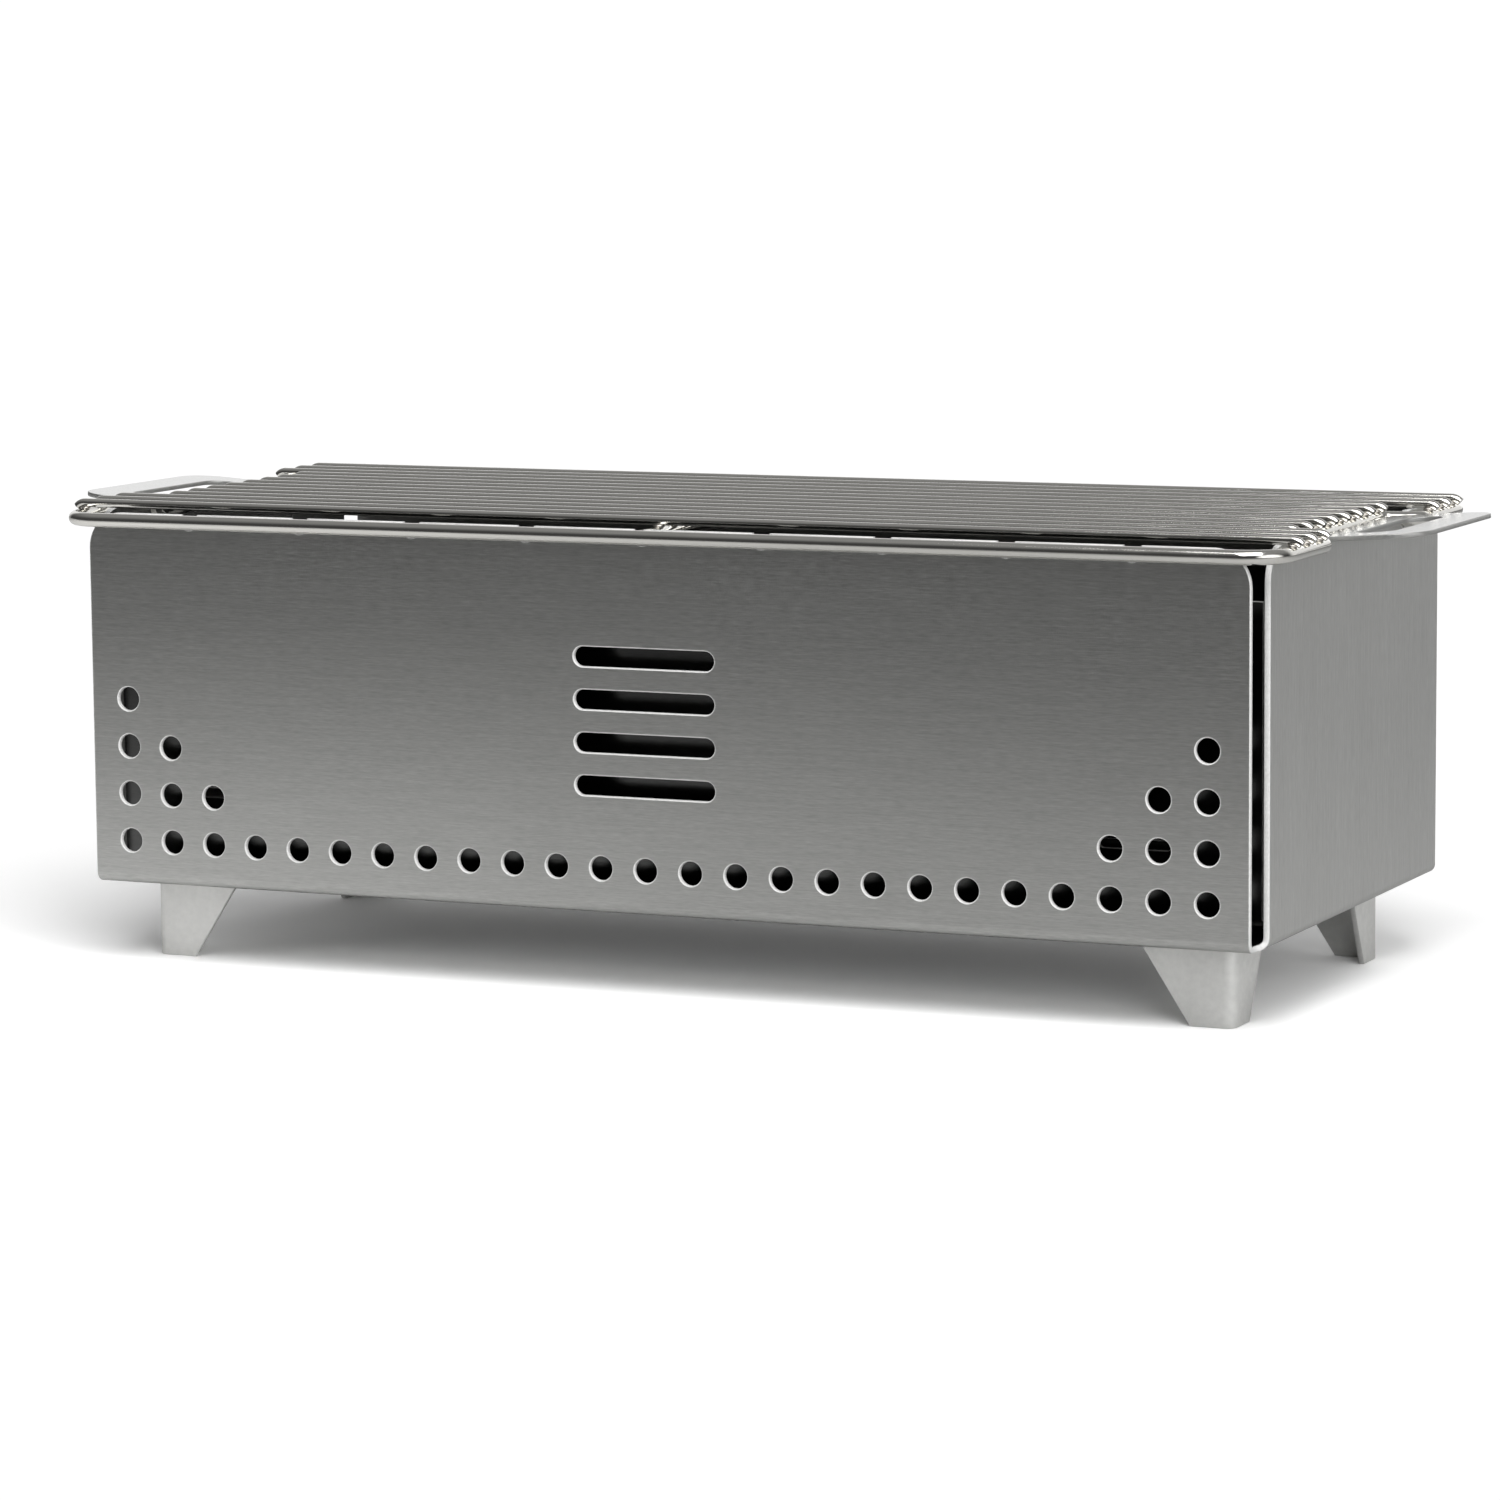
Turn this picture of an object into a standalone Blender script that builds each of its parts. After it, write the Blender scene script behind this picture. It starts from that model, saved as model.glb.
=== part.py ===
"""A portable tabletop charcoal grill.

A folded stainless body stands on four bent sheet feet. A lift-out fire box hangs in it by its two
handles, a slotted charcoal grid stands in the fire box, and a wire cooking grate sits over the top.
Metres, +Z up. The origin is on the table under the centre of the grill, and the front faces -Y.
"""

import math

import bmesh
import bpy
from mathutils import Matrix

# Body: one cross-shaped sheet folded up on four sides, with open corners
BODY_WIDTH = 0.418  # over the outer faces of the side walls
BODY_DEPTH = 0.190  # over the outer faces of the front and back walls
BODY_HEIGHT = 0.1255
BODY_SHEET = 0.002
BODY_BEND = 0.0035  # outer radius of the folds
FRONT_EDGE_INSET = 0.0031  # front wall's ends, in from the side walls' outer faces
SIDE_EDGE_INSET = 0.0092  # side walls' ends, in from the front wall's outer face
WALL_CORNER = 0.012  # rounding of the walls' upper corners
FOOT_HEIGHT = 0.0273  # table to the underside of the body

# Vents and notches in the front and back walls
HOLE_DIAMETER = 0.008
HOLE_PITCH = 0.016
HOLE_END_MARGIN = 0.0134  # wall's end to the centre of the last hole
HOLE_ROW_HEIGHT = 0.0148  # body's underside to the centres of the lowest row
HOLE_STEPS = (3, 2, 1)  # holes at each end in the rows above the lowest
LOUVRE_LENGTH = 0.050
LOUVRE_HEIGHT = 0.0065
LOUVRE_PITCH = 0.0140
LOUVRE_COUNT = 4
NOTCH_SIDE_GAP = 0.0006  # the middle notch lets the grate's cross rod through
NOTCH_FLOOR_GAP = 0.0004
NOTCH_PITCH = 0.0418
NOTCH_END_MARGIN = 0.030

# Feet
FOOT_SHEET = 0.002
FOOT_INSET_X = 0.0147  # outer face of a foot, in from the side wall's outer face
FOOT_INSET_FRONT = 0.0191  # outer face of a front foot, in from the front wall's outer face
FOOT_INSET_BACK = 0.0255
FOOT_BEND = 0.004
FOOT_LEG_TOP_X = 0.031  # length of the leg that faces the front or the back
FOOT_LEG_TOP_Y = 0.0275  # length of the leg that faces the side
FOOT_LEG_BOTTOM = 0.0148
FOOT_FLANGE_LENGTH = 0.032
FOOT_FLANGE_DEPTH = 0.021
RIVET_SHANK = 0.0040
RIVET_HEAD = 0.0078
RIVET_HEAD_HEIGHT = 0.0018
RIVET_EDGE = 0.0090  # foot's outer faces to the centre of the corner rivet
RIVET_SPACING = 0.0150

# Fire box
BOX_SHEET = 0.0015
BOX_END_GAP = 0.0013  # body's side wall to the fire box
BOX_AIR_GAP = 0.0150  # body's front and back walls to the fire box
BOX_FLOOR_GAP = 0.0033  # body's floor to the fire box
BOX_RIM_DROP = 0.0178  # body's rim down to the fire box's rim
BOX_CORNER = 0.003
SLIT_LENGTH = 0.024
SLIT_HEIGHT = 0.003
SLIT_PITCH = 0.036
SLIT_LEVEL = 0.0245  # fire box's underside to the slits' centres

# Handles, folded out of the fire box's end walls
HANDLE_WIDTH = 0.084
HANDLE_REACH = 0.0345  # beyond the side wall's outer face
HANDLE_SLOPE = math.radians(4.0)
HANDLE_DROP = 0.0025  # body's rim down to the handle's underside at the fire box
HANDLE_CORNER = 0.012
HANDLE_ROOT = 0.020  # height of the handle's tab that is folded up with the end wall
HAND_SLOT_LENGTH = 0.060
HAND_SLOT_WIDTH = 0.0135
HAND_SLOT_EDGE = 0.0205  # handle's outer edge to the slot's centre line

# Charcoal grid
GRID_SHEET = 0.0015
GRID_HEIGHT = 0.026  # fire box's floor to the grid's top
GRID_MARGIN = 0.0025
GRID_END_MARGIN = 0.012
GRID_SLOT_LENGTH = 0.026
GRID_SLOT_WIDTH = 0.007
GRID_SLOT_PITCH_X = 0.042
GRID_SLOT_PITCH_Y = 0.018
GRID_EDGE = 0.012  # least metal between a slot's centre and the grid's long edge

# Cooking grate
FRAME_ROD = 0.0048
TOP_ROD = 0.0030
ROD_PITCH = 0.0126
ROD_EDGE_MARGIN = 0.013  # body's front face to the first top rod, at least
FRAME_CORNER = 0.013
RAIL_WALL_GAP = 0.0035  # side wall to the frame's rod, outside it
RAIL_BOX_GAP = 0.0009  # fire box's end wall to the frame's rod, where that steps in for a handle
RECESS_CLEARANCE = 0.006  # handle's edge to the middle of the stepping rod
RECESS_BEND = 0.0045
ROD_HOOK = math.radians(45)  # how far a top rod's end bends down round the frame
RAIL_SLOT_SIDE_GAP = 0.0013  # the slots in the side walls let the frame's rod through
RAIL_SLOT_FLOOR_GAP = 0.0006

GAP = 0.0003  # between pieces that touch
HOLE_SIDES = 12
ARC_STEPS = 4
CUT_MARGIN = 0.002  # how far a cutter runs past what it cuts

BODY_FLOOR = FOOT_HEIGHT
BODY_RIM = FOOT_HEIGHT + BODY_HEIGHT
FRONT_WIDTH = BODY_WIDTH - 2 * FRONT_EDGE_INSET
SIDE_WIDTH = BODY_DEPTH - 2 * SIDE_EDGE_INSET
BOX_LENGTH = BODY_WIDTH - 2 * (BODY_SHEET + BOX_END_GAP)
BOX_DEPTH = BODY_DEPTH - 2 * (BODY_SHEET + BOX_AIR_GAP)
BOX_BOTTOM = BODY_FLOOR + BODY_SHEET + BOX_FLOOR_GAP
BOX_RIM = BODY_RIM - BOX_RIM_DROP
HANDLE_TIP = BODY_WIDTH / 2 + HANDLE_REACH
NOTCH_WIDTH = FRAME_ROD + 2 * NOTCH_SIDE_GAP
NOTCH_DEPTH = FRAME_ROD + NOTCH_FLOOR_GAP
RAIL_SLOT_WIDTH = FRAME_ROD + 2 * RAIL_SLOT_SIDE_GAP
RAIL_SLOT_DEPTH = FRAME_ROD + RAIL_SLOT_FLOOR_GAP
RECESS_Y = HANDLE_WIDTH / 2 + RECESS_CLEARANCE
RAIL_X = BODY_WIDTH / 2 + RAIL_WALL_GAP + FRAME_ROD / 2
INNER_RAIL_X = BOX_LENGTH / 2 - BOX_SHEET - RAIL_BOX_GAP - FRAME_ROD / 2
RAIL_Y = BODY_DEPTH / 2 + GAP + FRAME_ROD / 2
FRAME_LEVEL = BODY_RIM - FRAME_ROD / 2
ROD_OFFSET = FRAME_ROD / 2 + GAP + TOP_ROD / 2

STEEL = (0.60, 0.60, 0.59, 1.0)
BRIGHT_STEEL = (0.78, 0.78, 0.77, 1.0)
DARK_STEEL = (0.30, 0.30, 0.30, 1.0)

ON_TABLE = Matrix.Identity(4)  # outlines drawn in X and Y, depth along Z
ON_FRONT = Matrix(((1, 0, 0, 0), (0, 0, -1, 0), (0, 1, 0, 0), (0, 0, 0, 1)))  # in X and Z
ON_SIDE = Matrix(((0, 0, 1, 0), (1, 0, 0, 0), (0, 1, 0, 0), (0, 0, 0, 1)))  # in Y and Z


def clear_scene():
    for obj in list(bpy.data.objects):
        bpy.data.objects.remove(obj, do_unlink=True)


def new_collection(name):
    made = bpy.data.collections.new(name)
    bpy.context.scene.collection.children.link(made)
    return made


def metal(name, colour, roughness):
    material = bpy.data.materials.new(name)
    material.use_nodes = True
    shader = material.node_tree.nodes["Principled BSDF"]
    shader.inputs["Base Color"].default_value = colour
    shader.inputs["Metallic"].default_value = 1.0
    shader.inputs["Roughness"].default_value = roughness
    material.diffuse_color = colour
    return material


def arc(centre_x, centre_y, radius, start, end, steps=ARC_STEPS):
    """Points along an arc, both ends included; the angles are in degrees."""
    points = []
    for i in range(steps + 1):
        angle = math.radians(start + (end - start) * i / steps)
        points.append((centre_x + radius * math.cos(angle), centre_y + radius * math.sin(angle)))
    return points


def circle(centre_x, centre_y, diameter, sides=HOLE_SIDES):
    return arc(centre_x, centre_y, diameter / 2, 0, 360 * (sides - 1) / sides, sides - 1)


def rectangle(low_x, low_y, high_x, high_y):
    return [(low_x, low_y), (high_x, low_y), (high_x, high_y), (low_x, high_y)]


def obround(centre_x, centre_y, length, width):
    """A slot with round ends, `length` along x over all."""
    reach = (length - width) / 2
    right = arc(centre_x + reach, centre_y, width / 2, -90, 90)
    left = arc(centre_x - reach, centre_y, width / 2, 90, 270)
    return right + left


def notch(centre_x, bottom, width, top):
    """A U open upwards: a round bottom under straight sides."""
    radius = width / 2
    return arc(centre_x, bottom + radius, radius, 180, 360) + [
        (centre_x + radius, top),
        (centre_x - radius, top),
    ]


def corner_waste(corner_x, corner_y, radius, toward_x, toward_y):
    """What a rounding takes off a corner. The signs point from the corner into the sheet."""
    start = {(1, -1): 90, (-1, -1): 0, (1, 1): 180, (-1, 1): 270}[(toward_x, toward_y)]
    curve = arc(
        corner_x + toward_x * radius, corner_y + toward_y * radius, radius, start, start + 90, 6
    )
    out_x = corner_x - toward_x * CUT_MARGIN
    out_y = corner_y - toward_y * CUT_MARGIN
    first, last = curve[0], curve[-1]
    if abs(first[0] - corner_x) < abs(last[0] - corner_x):
        curve.reverse()
        first, last = last, first
    return curve + [(out_x, last[1]), (out_x, out_y), (first[0], out_y)]


def spaced(count, pitch):
    return [(i - (count - 1) / 2) * pitch for i in range(count)]


def fitted(span, pitch):
    """How many places at this pitch fit in the span, the ends included."""
    return int(math.floor(span / pitch + 1e-6)) + 1


def finished(curve_object, name, collection, material):
    """Replaces a curve with its mesh: the caps are welded on and the faces point outwards."""
    graph = bpy.context.evaluated_depsgraph_get()
    mesh = bpy.data.meshes.new_from_object(curve_object.evaluated_get(graph))
    mesh.name = name
    shape = bmesh.new()
    shape.from_mesh(mesh)
    bmesh.ops.remove_doubles(shape, verts=shape.verts, dist=1e-7)
    bmesh.ops.recalc_face_normals(shape, faces=shape.faces)
    shape.to_mesh(mesh)
    shape.free()
    made = bpy.data.objects.new(name, mesh)
    made.matrix_world = curve_object.matrix_world.copy()
    collection.objects.link(made)
    curve = curve_object.data
    bpy.data.objects.remove(curve_object)
    bpy.data.curves.remove(curve)
    mesh.materials.clear()
    if material is not None:
        mesh.materials.append(material)
    return made


def prism(name, outlines, depth, placement, collection, material=None):
    """Closed outlines extruded by half the depth to each side of their plane."""
    curve = bpy.data.curves.new(name, "CURVE")
    curve.dimensions = "2D"
    curve.fill_mode = "BOTH"
    curve.extrude = depth / 2
    for outline in outlines:
        spline = curve.splines.new("POLY")
        spline.points.add(len(outline) - 1)
        spline.use_cyclic_u = True
        for point, (x, y) in zip(spline.points, outline):
            point.co = (x, y, 0, 1)
    drawn = bpy.data.objects.new(name + "_outline", curve)
    drawn.matrix_world = placement
    bpy.context.scene.collection.objects.link(drawn)
    bpy.context.view_layer.update()
    return finished(drawn, name, collection, material)


def wire(name, points, diameter, closed, collection, material):
    """A round rod along the points."""
    curve = bpy.data.curves.new(name, "CURVE")
    curve.dimensions = "3D"
    curve.bevel_depth = diameter / 2
    curve.bevel_resolution = 2
    curve.use_fill_caps = not closed
    spline = curve.splines.new("POLY")
    spline.points.add(len(points) - 1)
    spline.use_cyclic_u = closed
    for point, place in zip(spline.points, points):
        point.co = (*place, 1)
    drawn = bpy.data.objects.new(name + "_path", curve)
    bpy.context.scene.collection.objects.link(drawn)
    bpy.context.view_layer.update()
    rod = finished(drawn, name, collection, material)
    rod.data.shade_smooth()
    rod.data.set_sharp_from_angle(angle=math.radians(50))
    return rod


def as_tool(obj):
    obj.hide_render = True
    obj.display_type = "WIRE"
    return obj


def combine(obj, other, operation):
    modifier = obj.modifiers.new(other.name, "BOOLEAN")
    modifier.operation = operation
    modifier.solver = "EXACT"
    modifier.object = as_tool(other)


def moved(placement, x=0.0, y=0.0, z=0.0):
    return Matrix.Translation((x, y, z)) @ placement


def tray_profile(span, height, sheet, bend, base):
    """Section of a sheet folded up at both ends: span over the walls, standing on base."""
    half = span / 2
    inner = bend - sheet
    left = base + bend
    outer = (
        [(-half, base + height)]
        + arc(-half + bend, left, bend, 180, 270)
        + arc(half - bend, left, bend, 270, 360)
        + [(half, base + height)]
    )
    inside = (
        [(half - sheet, base + height)]
        + arc(half - bend, left, inner, 360, 270)
        + arc(-half + bend, left, inner, 270, 180)
        + [(-half + sheet, base + height)]
    )
    return outer + inside


def foot_corner(sign_y):
    """How far a foot's folded corner stands from the middle of the body, in x and in y."""
    inset_y = FOOT_INSET_FRONT if sign_y < 0 else FOOT_INSET_BACK
    return BODY_WIDTH / 2 - FOOT_INSET_X, BODY_DEPTH / 2 - inset_y


def rivet_places():
    """Centre of each foot rivet: (foot's sign in x, sign in y, number, x, y)."""
    places = []
    for sign_y in (-1, 1):
        corner_x, corner_y = foot_corner(sign_y)
        for sign_x in (-1, 1):
            for number in (1, 2):
                x = corner_x - RIVET_EDGE - (number - 1) * RIVET_SPACING
                places.append((sign_x, sign_y, number, sign_x * x, sign_y * (corner_y - RIVET_EDGE)))
    return places


def side_name(sign_x, sign_y):
    return ("front" if sign_y < 0 else "back") + "_" + ("left" if sign_x < 0 else "right")


def vent_outlines():
    """The hole pattern that the front and back walls share."""
    columns = fitted(FRONT_WIDTH - 2 * HOLE_END_MARGIN, HOLE_PITCH)
    places = spaced(columns, HOLE_PITCH)
    lowest = BODY_FLOOR + HOLE_ROW_HEIGHT
    outlines = [circle(x, lowest, HOLE_DIAMETER) for x in places]
    for row, count in enumerate(HOLE_STEPS, start=1):
        for x in places[:count] + places[-count:]:
            outlines.append(circle(x, lowest + row * HOLE_PITCH, HOLE_DIAMETER))
    return outlines


def notch_outlines():
    each_way = fitted(FRONT_WIDTH / 2 - NOTCH_END_MARGIN, NOTCH_PITCH) - 1
    bottom = BODY_RIM - NOTCH_DEPTH
    return [
        notch(x, bottom, NOTCH_WIDTH, BODY_RIM + CUT_MARGIN)
        for x in spaced(2 * each_way + 1, NOTCH_PITCH)
    ]


def louvre_outlines():
    middle = BODY_FLOOR + BODY_HEIGHT / 2
    return [
        obround(0, middle + z, LOUVRE_LENGTH, LOUVRE_HEIGHT) for z in spaced(LOUVRE_COUNT, LOUVRE_PITCH)
    ]


def wall_corner_outlines(width):
    return [
        corner_waste(-width / 2, BODY_RIM, WALL_CORNER, 1, -1),
        corner_waste(width / 2, BODY_RIM, WALL_CORNER, -1, -1),
    ]


def side_rim_outlines():
    """A side wall's rim: lowered for the handle, with a slot beside it for each frame rod."""
    slot_y = RECESS_Y + GAP
    recess = rectangle(-slot_y, BODY_RIM - HANDLE_DROP - GAP, slot_y, BODY_RIM + CUT_MARGIN)
    return recess, [
        notch(y, BODY_RIM - RAIL_SLOT_DEPTH, RAIL_SLOT_WIDTH, BODY_RIM + CUT_MARGIN)
        for y in (-slot_y, slot_y)
    ]


def make_body(parts, cutters, material):
    front_back = tray_profile(BODY_DEPTH, BODY_HEIGHT, BODY_SHEET, BODY_BEND, BODY_FLOOR)
    body = prism("outer_body", [front_back], FRONT_WIDTH, ON_SIDE, parts, material)
    sides = tray_profile(BODY_WIDTH, BODY_HEIGHT, BODY_SHEET, BODY_BEND, BODY_FLOOR)
    side_walls = prism("side_walls", [sides], SIDE_WIDTH, ON_FRONT, cutters)
    combine(body, side_walls, "UNION")

    through_wall = BODY_SHEET + 2 * CUT_MARGIN
    wall_y = (BODY_DEPTH - BODY_SHEET) / 2
    wall_x = (BODY_WIDTH - BODY_SHEET) / 2
    shared = vent_outlines() + notch_outlines() + wall_corner_outlines(FRONT_WIDTH)
    front = moved(ON_FRONT, y=-wall_y)
    back = moved(ON_FRONT, y=wall_y)
    combine(
        body,
        prism("front_cuts", shared + louvre_outlines(), through_wall, front, cutters),
        "DIFFERENCE",
    )
    combine(body, prism("back_cuts", shared, through_wall, back, cutters), "DIFFERENCE")

    recess, slots = side_rim_outlines()
    for side, x in (("left", -wall_x), ("right", wall_x)):
        place = moved(ON_SIDE, x=x)
        rim = prism(f"{side}_rim_recess", [recess], through_wall, place, cutters)
        combine(body, rim, "DIFFERENCE")
        rest = slots + wall_corner_outlines(SIDE_WIDTH)
        combine(body, prism(f"{side}_rim_cuts", rest, through_wall, place, cutters), "DIFFERENCE")

    holes = [circle(x, y, RIVET_SHANK + 2 * GAP) for _, _, _, x, y in rivet_places()]
    floor = moved(ON_TABLE, z=BODY_FLOOR + BODY_SHEET / 2)
    combine(body, prism("floor_holes", holes, through_wall, floor, cutters), "DIFFERENCE")


def taper_waste(leg_top, height):
    """What the slanting edge takes off a leg: distance from the foot's corner, and height."""
    rise = height - FOOT_SHEET
    run = (leg_top - FOOT_LEG_BOTTOM) / rise * (rise + CUT_MARGIN)
    return [
        (leg_top - run, -CUT_MARGIN),
        (leg_top + CUT_MARGIN, -CUT_MARGIN),
        (leg_top + CUT_MARGIN, rise),
        (leg_top, rise),
    ]


def make_foot(sign_x, sign_y, parts, cutters, material):
    """Two tapering legs of sheet folded round a corner, with a flange under the body."""
    name = "foot_" + side_name(sign_x, sign_y)
    corner_x, corner_y = foot_corner(sign_y)
    height = FOOT_HEIGHT - GAP

    def at(points):
        return [(sign_x * (corner_x - u), sign_y * (corner_y - v)) for u, v in points]

    inner = FOOT_BEND - FOOT_SHEET
    section = (
        [(FOOT_LEG_TOP_X, 0)]
        + arc(FOOT_BEND, FOOT_BEND, FOOT_BEND, 270, 180)
        + [(0, FOOT_LEG_TOP_Y), (FOOT_SHEET, FOOT_LEG_TOP_Y)]
        + arc(FOOT_BEND, FOOT_BEND, inner, 180, 270)
        + [(FOOT_LEG_TOP_X, FOOT_SHEET)]
    )
    standing = moved(ON_TABLE, z=height / 2)
    foot = prism(name, [at(section)], height, standing, parts, material)

    flange = rectangle(FOOT_BEND, FOOT_SHEET / 2, FOOT_FLANGE_LENGTH, FOOT_FLANGE_DEPTH)
    lid = moved(ON_TABLE, z=height - FOOT_SHEET / 2)
    plate = prism(name + "_flange", [at(flange)], FOOT_SHEET, lid, cutters)
    waste_x = [(sign_x * (corner_x - u), z) for u, z in taper_waste(FOOT_LEG_TOP_X, height)]
    waste_y = [(sign_y * (corner_y - v), z) for v, z in taper_waste(FOOT_LEG_TOP_Y, height)]
    front = moved(ON_FRONT, y=sign_y * (corner_y - FOOT_SHEET))
    side = moved(ON_SIDE, x=sign_x * (corner_x - FOOT_SHEET))
    through_leg = 2 * FOOT_SHEET + 2 * CUT_MARGIN
    cut_x = prism(name + "_taper_x", [waste_x], through_leg, front, cutters)
    cut_y = prism(name + "_taper_y", [waste_y], through_leg, side, cutters)
    combine(foot, cut_x, "DIFFERENCE")
    combine(foot, cut_y, "DIFFERENCE")
    combine(foot, plate, "UNION")
    holes = [
        circle(x, y, RIVET_SHANK + 2 * GAP)
        for x_side, y_side, _, x, y in rivet_places()
        if (x_side, y_side) == (sign_x, sign_y)
    ]
    drill = prism(name + "_holes", holes, FOOT_SHEET + 2 * CUT_MARGIN, lid, cutters)
    combine(foot, drill, "DIFFERENCE")


def make_rivet(sign_x, sign_y, number, x, y, parts, material):
    """A rivet turned about its axis: a head inside the body, the shank, a head under the flange."""
    name = f"foot_rivet_{side_name(sign_x, sign_y)}_{number}"
    top = BODY_FLOOR + BODY_SHEET + GAP
    bottom = BODY_FLOOR - GAP - FOOT_SHEET - GAP
    head = RIVET_HEAD / 2
    shank = RIVET_SHANK / 2
    profile = [
        (0, top + RIVET_HEAD_HEIGHT),
        (head * 0.65, top + RIVET_HEAD_HEIGHT * 0.8),
        (head, top),
        (shank, top),
        (shank, bottom),
        (head, bottom),
        (head * 0.65, bottom - RIVET_HEAD_HEIGHT * 0.8),
        (0, bottom - RIVET_HEAD_HEIGHT),
    ]
    mesh = bpy.data.meshes.new(name)
    edges = [(i, i + 1) for i in range(len(profile) - 1)]
    mesh.from_pydata([(radius, 0, z) for radius, z in profile], edges, [])
    mesh.materials.append(material)
    rivet = bpy.data.objects.new(name, mesh)
    rivet.location = (x, y, 0)
    parts.objects.link(rivet)
    turned = rivet.modifiers.new("turned", "SCREW")
    turned.steps = HOLE_SIDES
    turned.render_steps = HOLE_SIDES
    turned.use_merge_vertices = True
    turned.merge_threshold = 1e-5
    turned.use_smooth_shade = True


def handle_profile():
    """Section of an end wall's tab and the handle folded out of it, drawn for the right side."""
    outer = BOX_LENGTH / 2
    inner = outer - BOX_SHEET
    bend = BOX_SHEET
    low = BOX_RIM - HANDLE_ROOT
    slope = math.tan(HANDLE_SLOPE)
    under = BODY_RIM - HANDLE_DROP
    tip_rise = slope * (HANDLE_TIP - outer)
    sheet = BOX_SHEET / math.cos(HANDLE_SLOPE)
    turn = math.degrees(HANDLE_SLOPE)
    fold_x = inner + 2 * bend
    fold_z = under + sheet - 2 * bend - slope * BOX_SHEET
    return (
        [(outer, low), (outer, under), (HANDLE_TIP, under + tip_rise)]
        + [(HANDLE_TIP, under + tip_rise + sheet)]
        + arc(fold_x, fold_z, 2 * bend, 90 + turn, 180)
        + [(inner, low)]
    )


def make_fire_box(parts, cutters, material):
    mesh = bpy.data.meshes.new("fire_box")
    shape = bmesh.new()
    bmesh.ops.create_cube(shape, size=1.0)
    box_height = BOX_RIM - BOX_BOTTOM
    bmesh.ops.scale(shape, vec=(BOX_LENGTH, BOX_DEPTH, box_height), verts=shape.verts)
    bmesh.ops.translate(shape, vec=(0, 0, BOX_BOTTOM + box_height / 2), verts=shape.verts)
    lid = [face for face in shape.faces if face.normal.z > 0.5]
    bmesh.ops.delete(shape, geom=lid, context="FACES")
    folds = [edge for edge in shape.edges if not edge.is_boundary]
    bmesh.ops.bevel(
        shape, geom=folds, offset=BOX_CORNER, segments=3, profile=0.5, affect="EDGES"
    )
    shape.to_mesh(mesh)
    shape.free()
    mesh.materials.append(material)
    box = bpy.data.objects.new("fire_box", mesh)
    parts.objects.link(box)
    wall = box.modifiers.new("sheet", "SOLIDIFY")
    wall.thickness = BOX_SHEET
    wall.offset = -1
    wall.use_even_offset = True

    right = handle_profile()
    left = [(-x, z) for x, z in right]
    for side, outline in (("left", left), ("right", right)):
        tab = prism(f"handle_{side}", [outline], HANDLE_WIDTH, ON_FRONT, cutters)
        combine(box, tab, "UNION")

    cuts = []
    for sign in (-1, 1):
        slot_x = sign * (HANDLE_TIP - HAND_SLOT_EDGE)
        slot = [(slot_x + y, x) for x, y in obround(0, 0, HAND_SLOT_LENGTH, HAND_SLOT_WIDTH)]
        cuts.append(slot)
        for toward_y in (-1, 1):
            corner_y = -toward_y * HANDLE_WIDTH / 2
            cuts.append(corner_waste(sign * HANDLE_TIP, corner_y, HANDLE_CORNER, -sign, toward_y))
    above = moved(ON_TABLE, z=BODY_RIM)
    combine(box, prism("handle_cuts", cuts, BOX_RIM_DROP, above, cutters), "DIFFERENCE")

    slit_count = fitted(BOX_LENGTH - 2 * BOX_CORNER - SLIT_LENGTH - SLIT_PITCH / 2, SLIT_PITCH)
    level = BOX_BOTTOM + SLIT_LEVEL
    slits = [obround(x, level, SLIT_LENGTH, SLIT_HEIGHT) for x in spaced(slit_count, SLIT_PITCH)]
    through = BOX_DEPTH + 2 * CUT_MARGIN
    combine(box, prism("air_slits", slits, through, ON_FRONT, cutters), "DIFFERENCE")


def make_charcoal_grid(parts, cutters, material):
    """A slotted plate whose ends fold down into legs."""
    length = BOX_LENGTH - 2 * (BOX_SHEET + GRID_END_MARGIN)
    depth = BOX_DEPTH - 2 * (BOX_SHEET + GRID_MARGIN)
    floor = BOX_BOTTOM + BOX_SHEET + GAP
    height = GRID_HEIGHT - GAP
    upright = tray_profile(length, height, GRID_SHEET, 2 * GRID_SHEET, 0)
    legs_down = [(x, floor + height - z) for x, z in upright]
    grid = prism("charcoal_grid", [legs_down], depth, ON_FRONT, parts, material)
    across = fitted(length - 2 * GRID_EDGE - GRID_SLOT_LENGTH, GRID_SLOT_PITCH_X)
    rows = fitted(depth - 2 * GRID_EDGE, GRID_SLOT_PITCH_Y)
    slots = [
        obround(x, y, GRID_SLOT_LENGTH, GRID_SLOT_WIDTH)
        for x in spaced(across, GRID_SLOT_PITCH_X)
        for y in spaced(rows, GRID_SLOT_PITCH_Y)
    ]
    level = moved(ON_TABLE, z=floor + height - GRID_SHEET / 2)
    cutter = prism("grid_slots", slots, GRID_SHEET + 2 * CUT_MARGIN, level, cutters)
    combine(grid, cutter, "DIFFERENCE")


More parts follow.
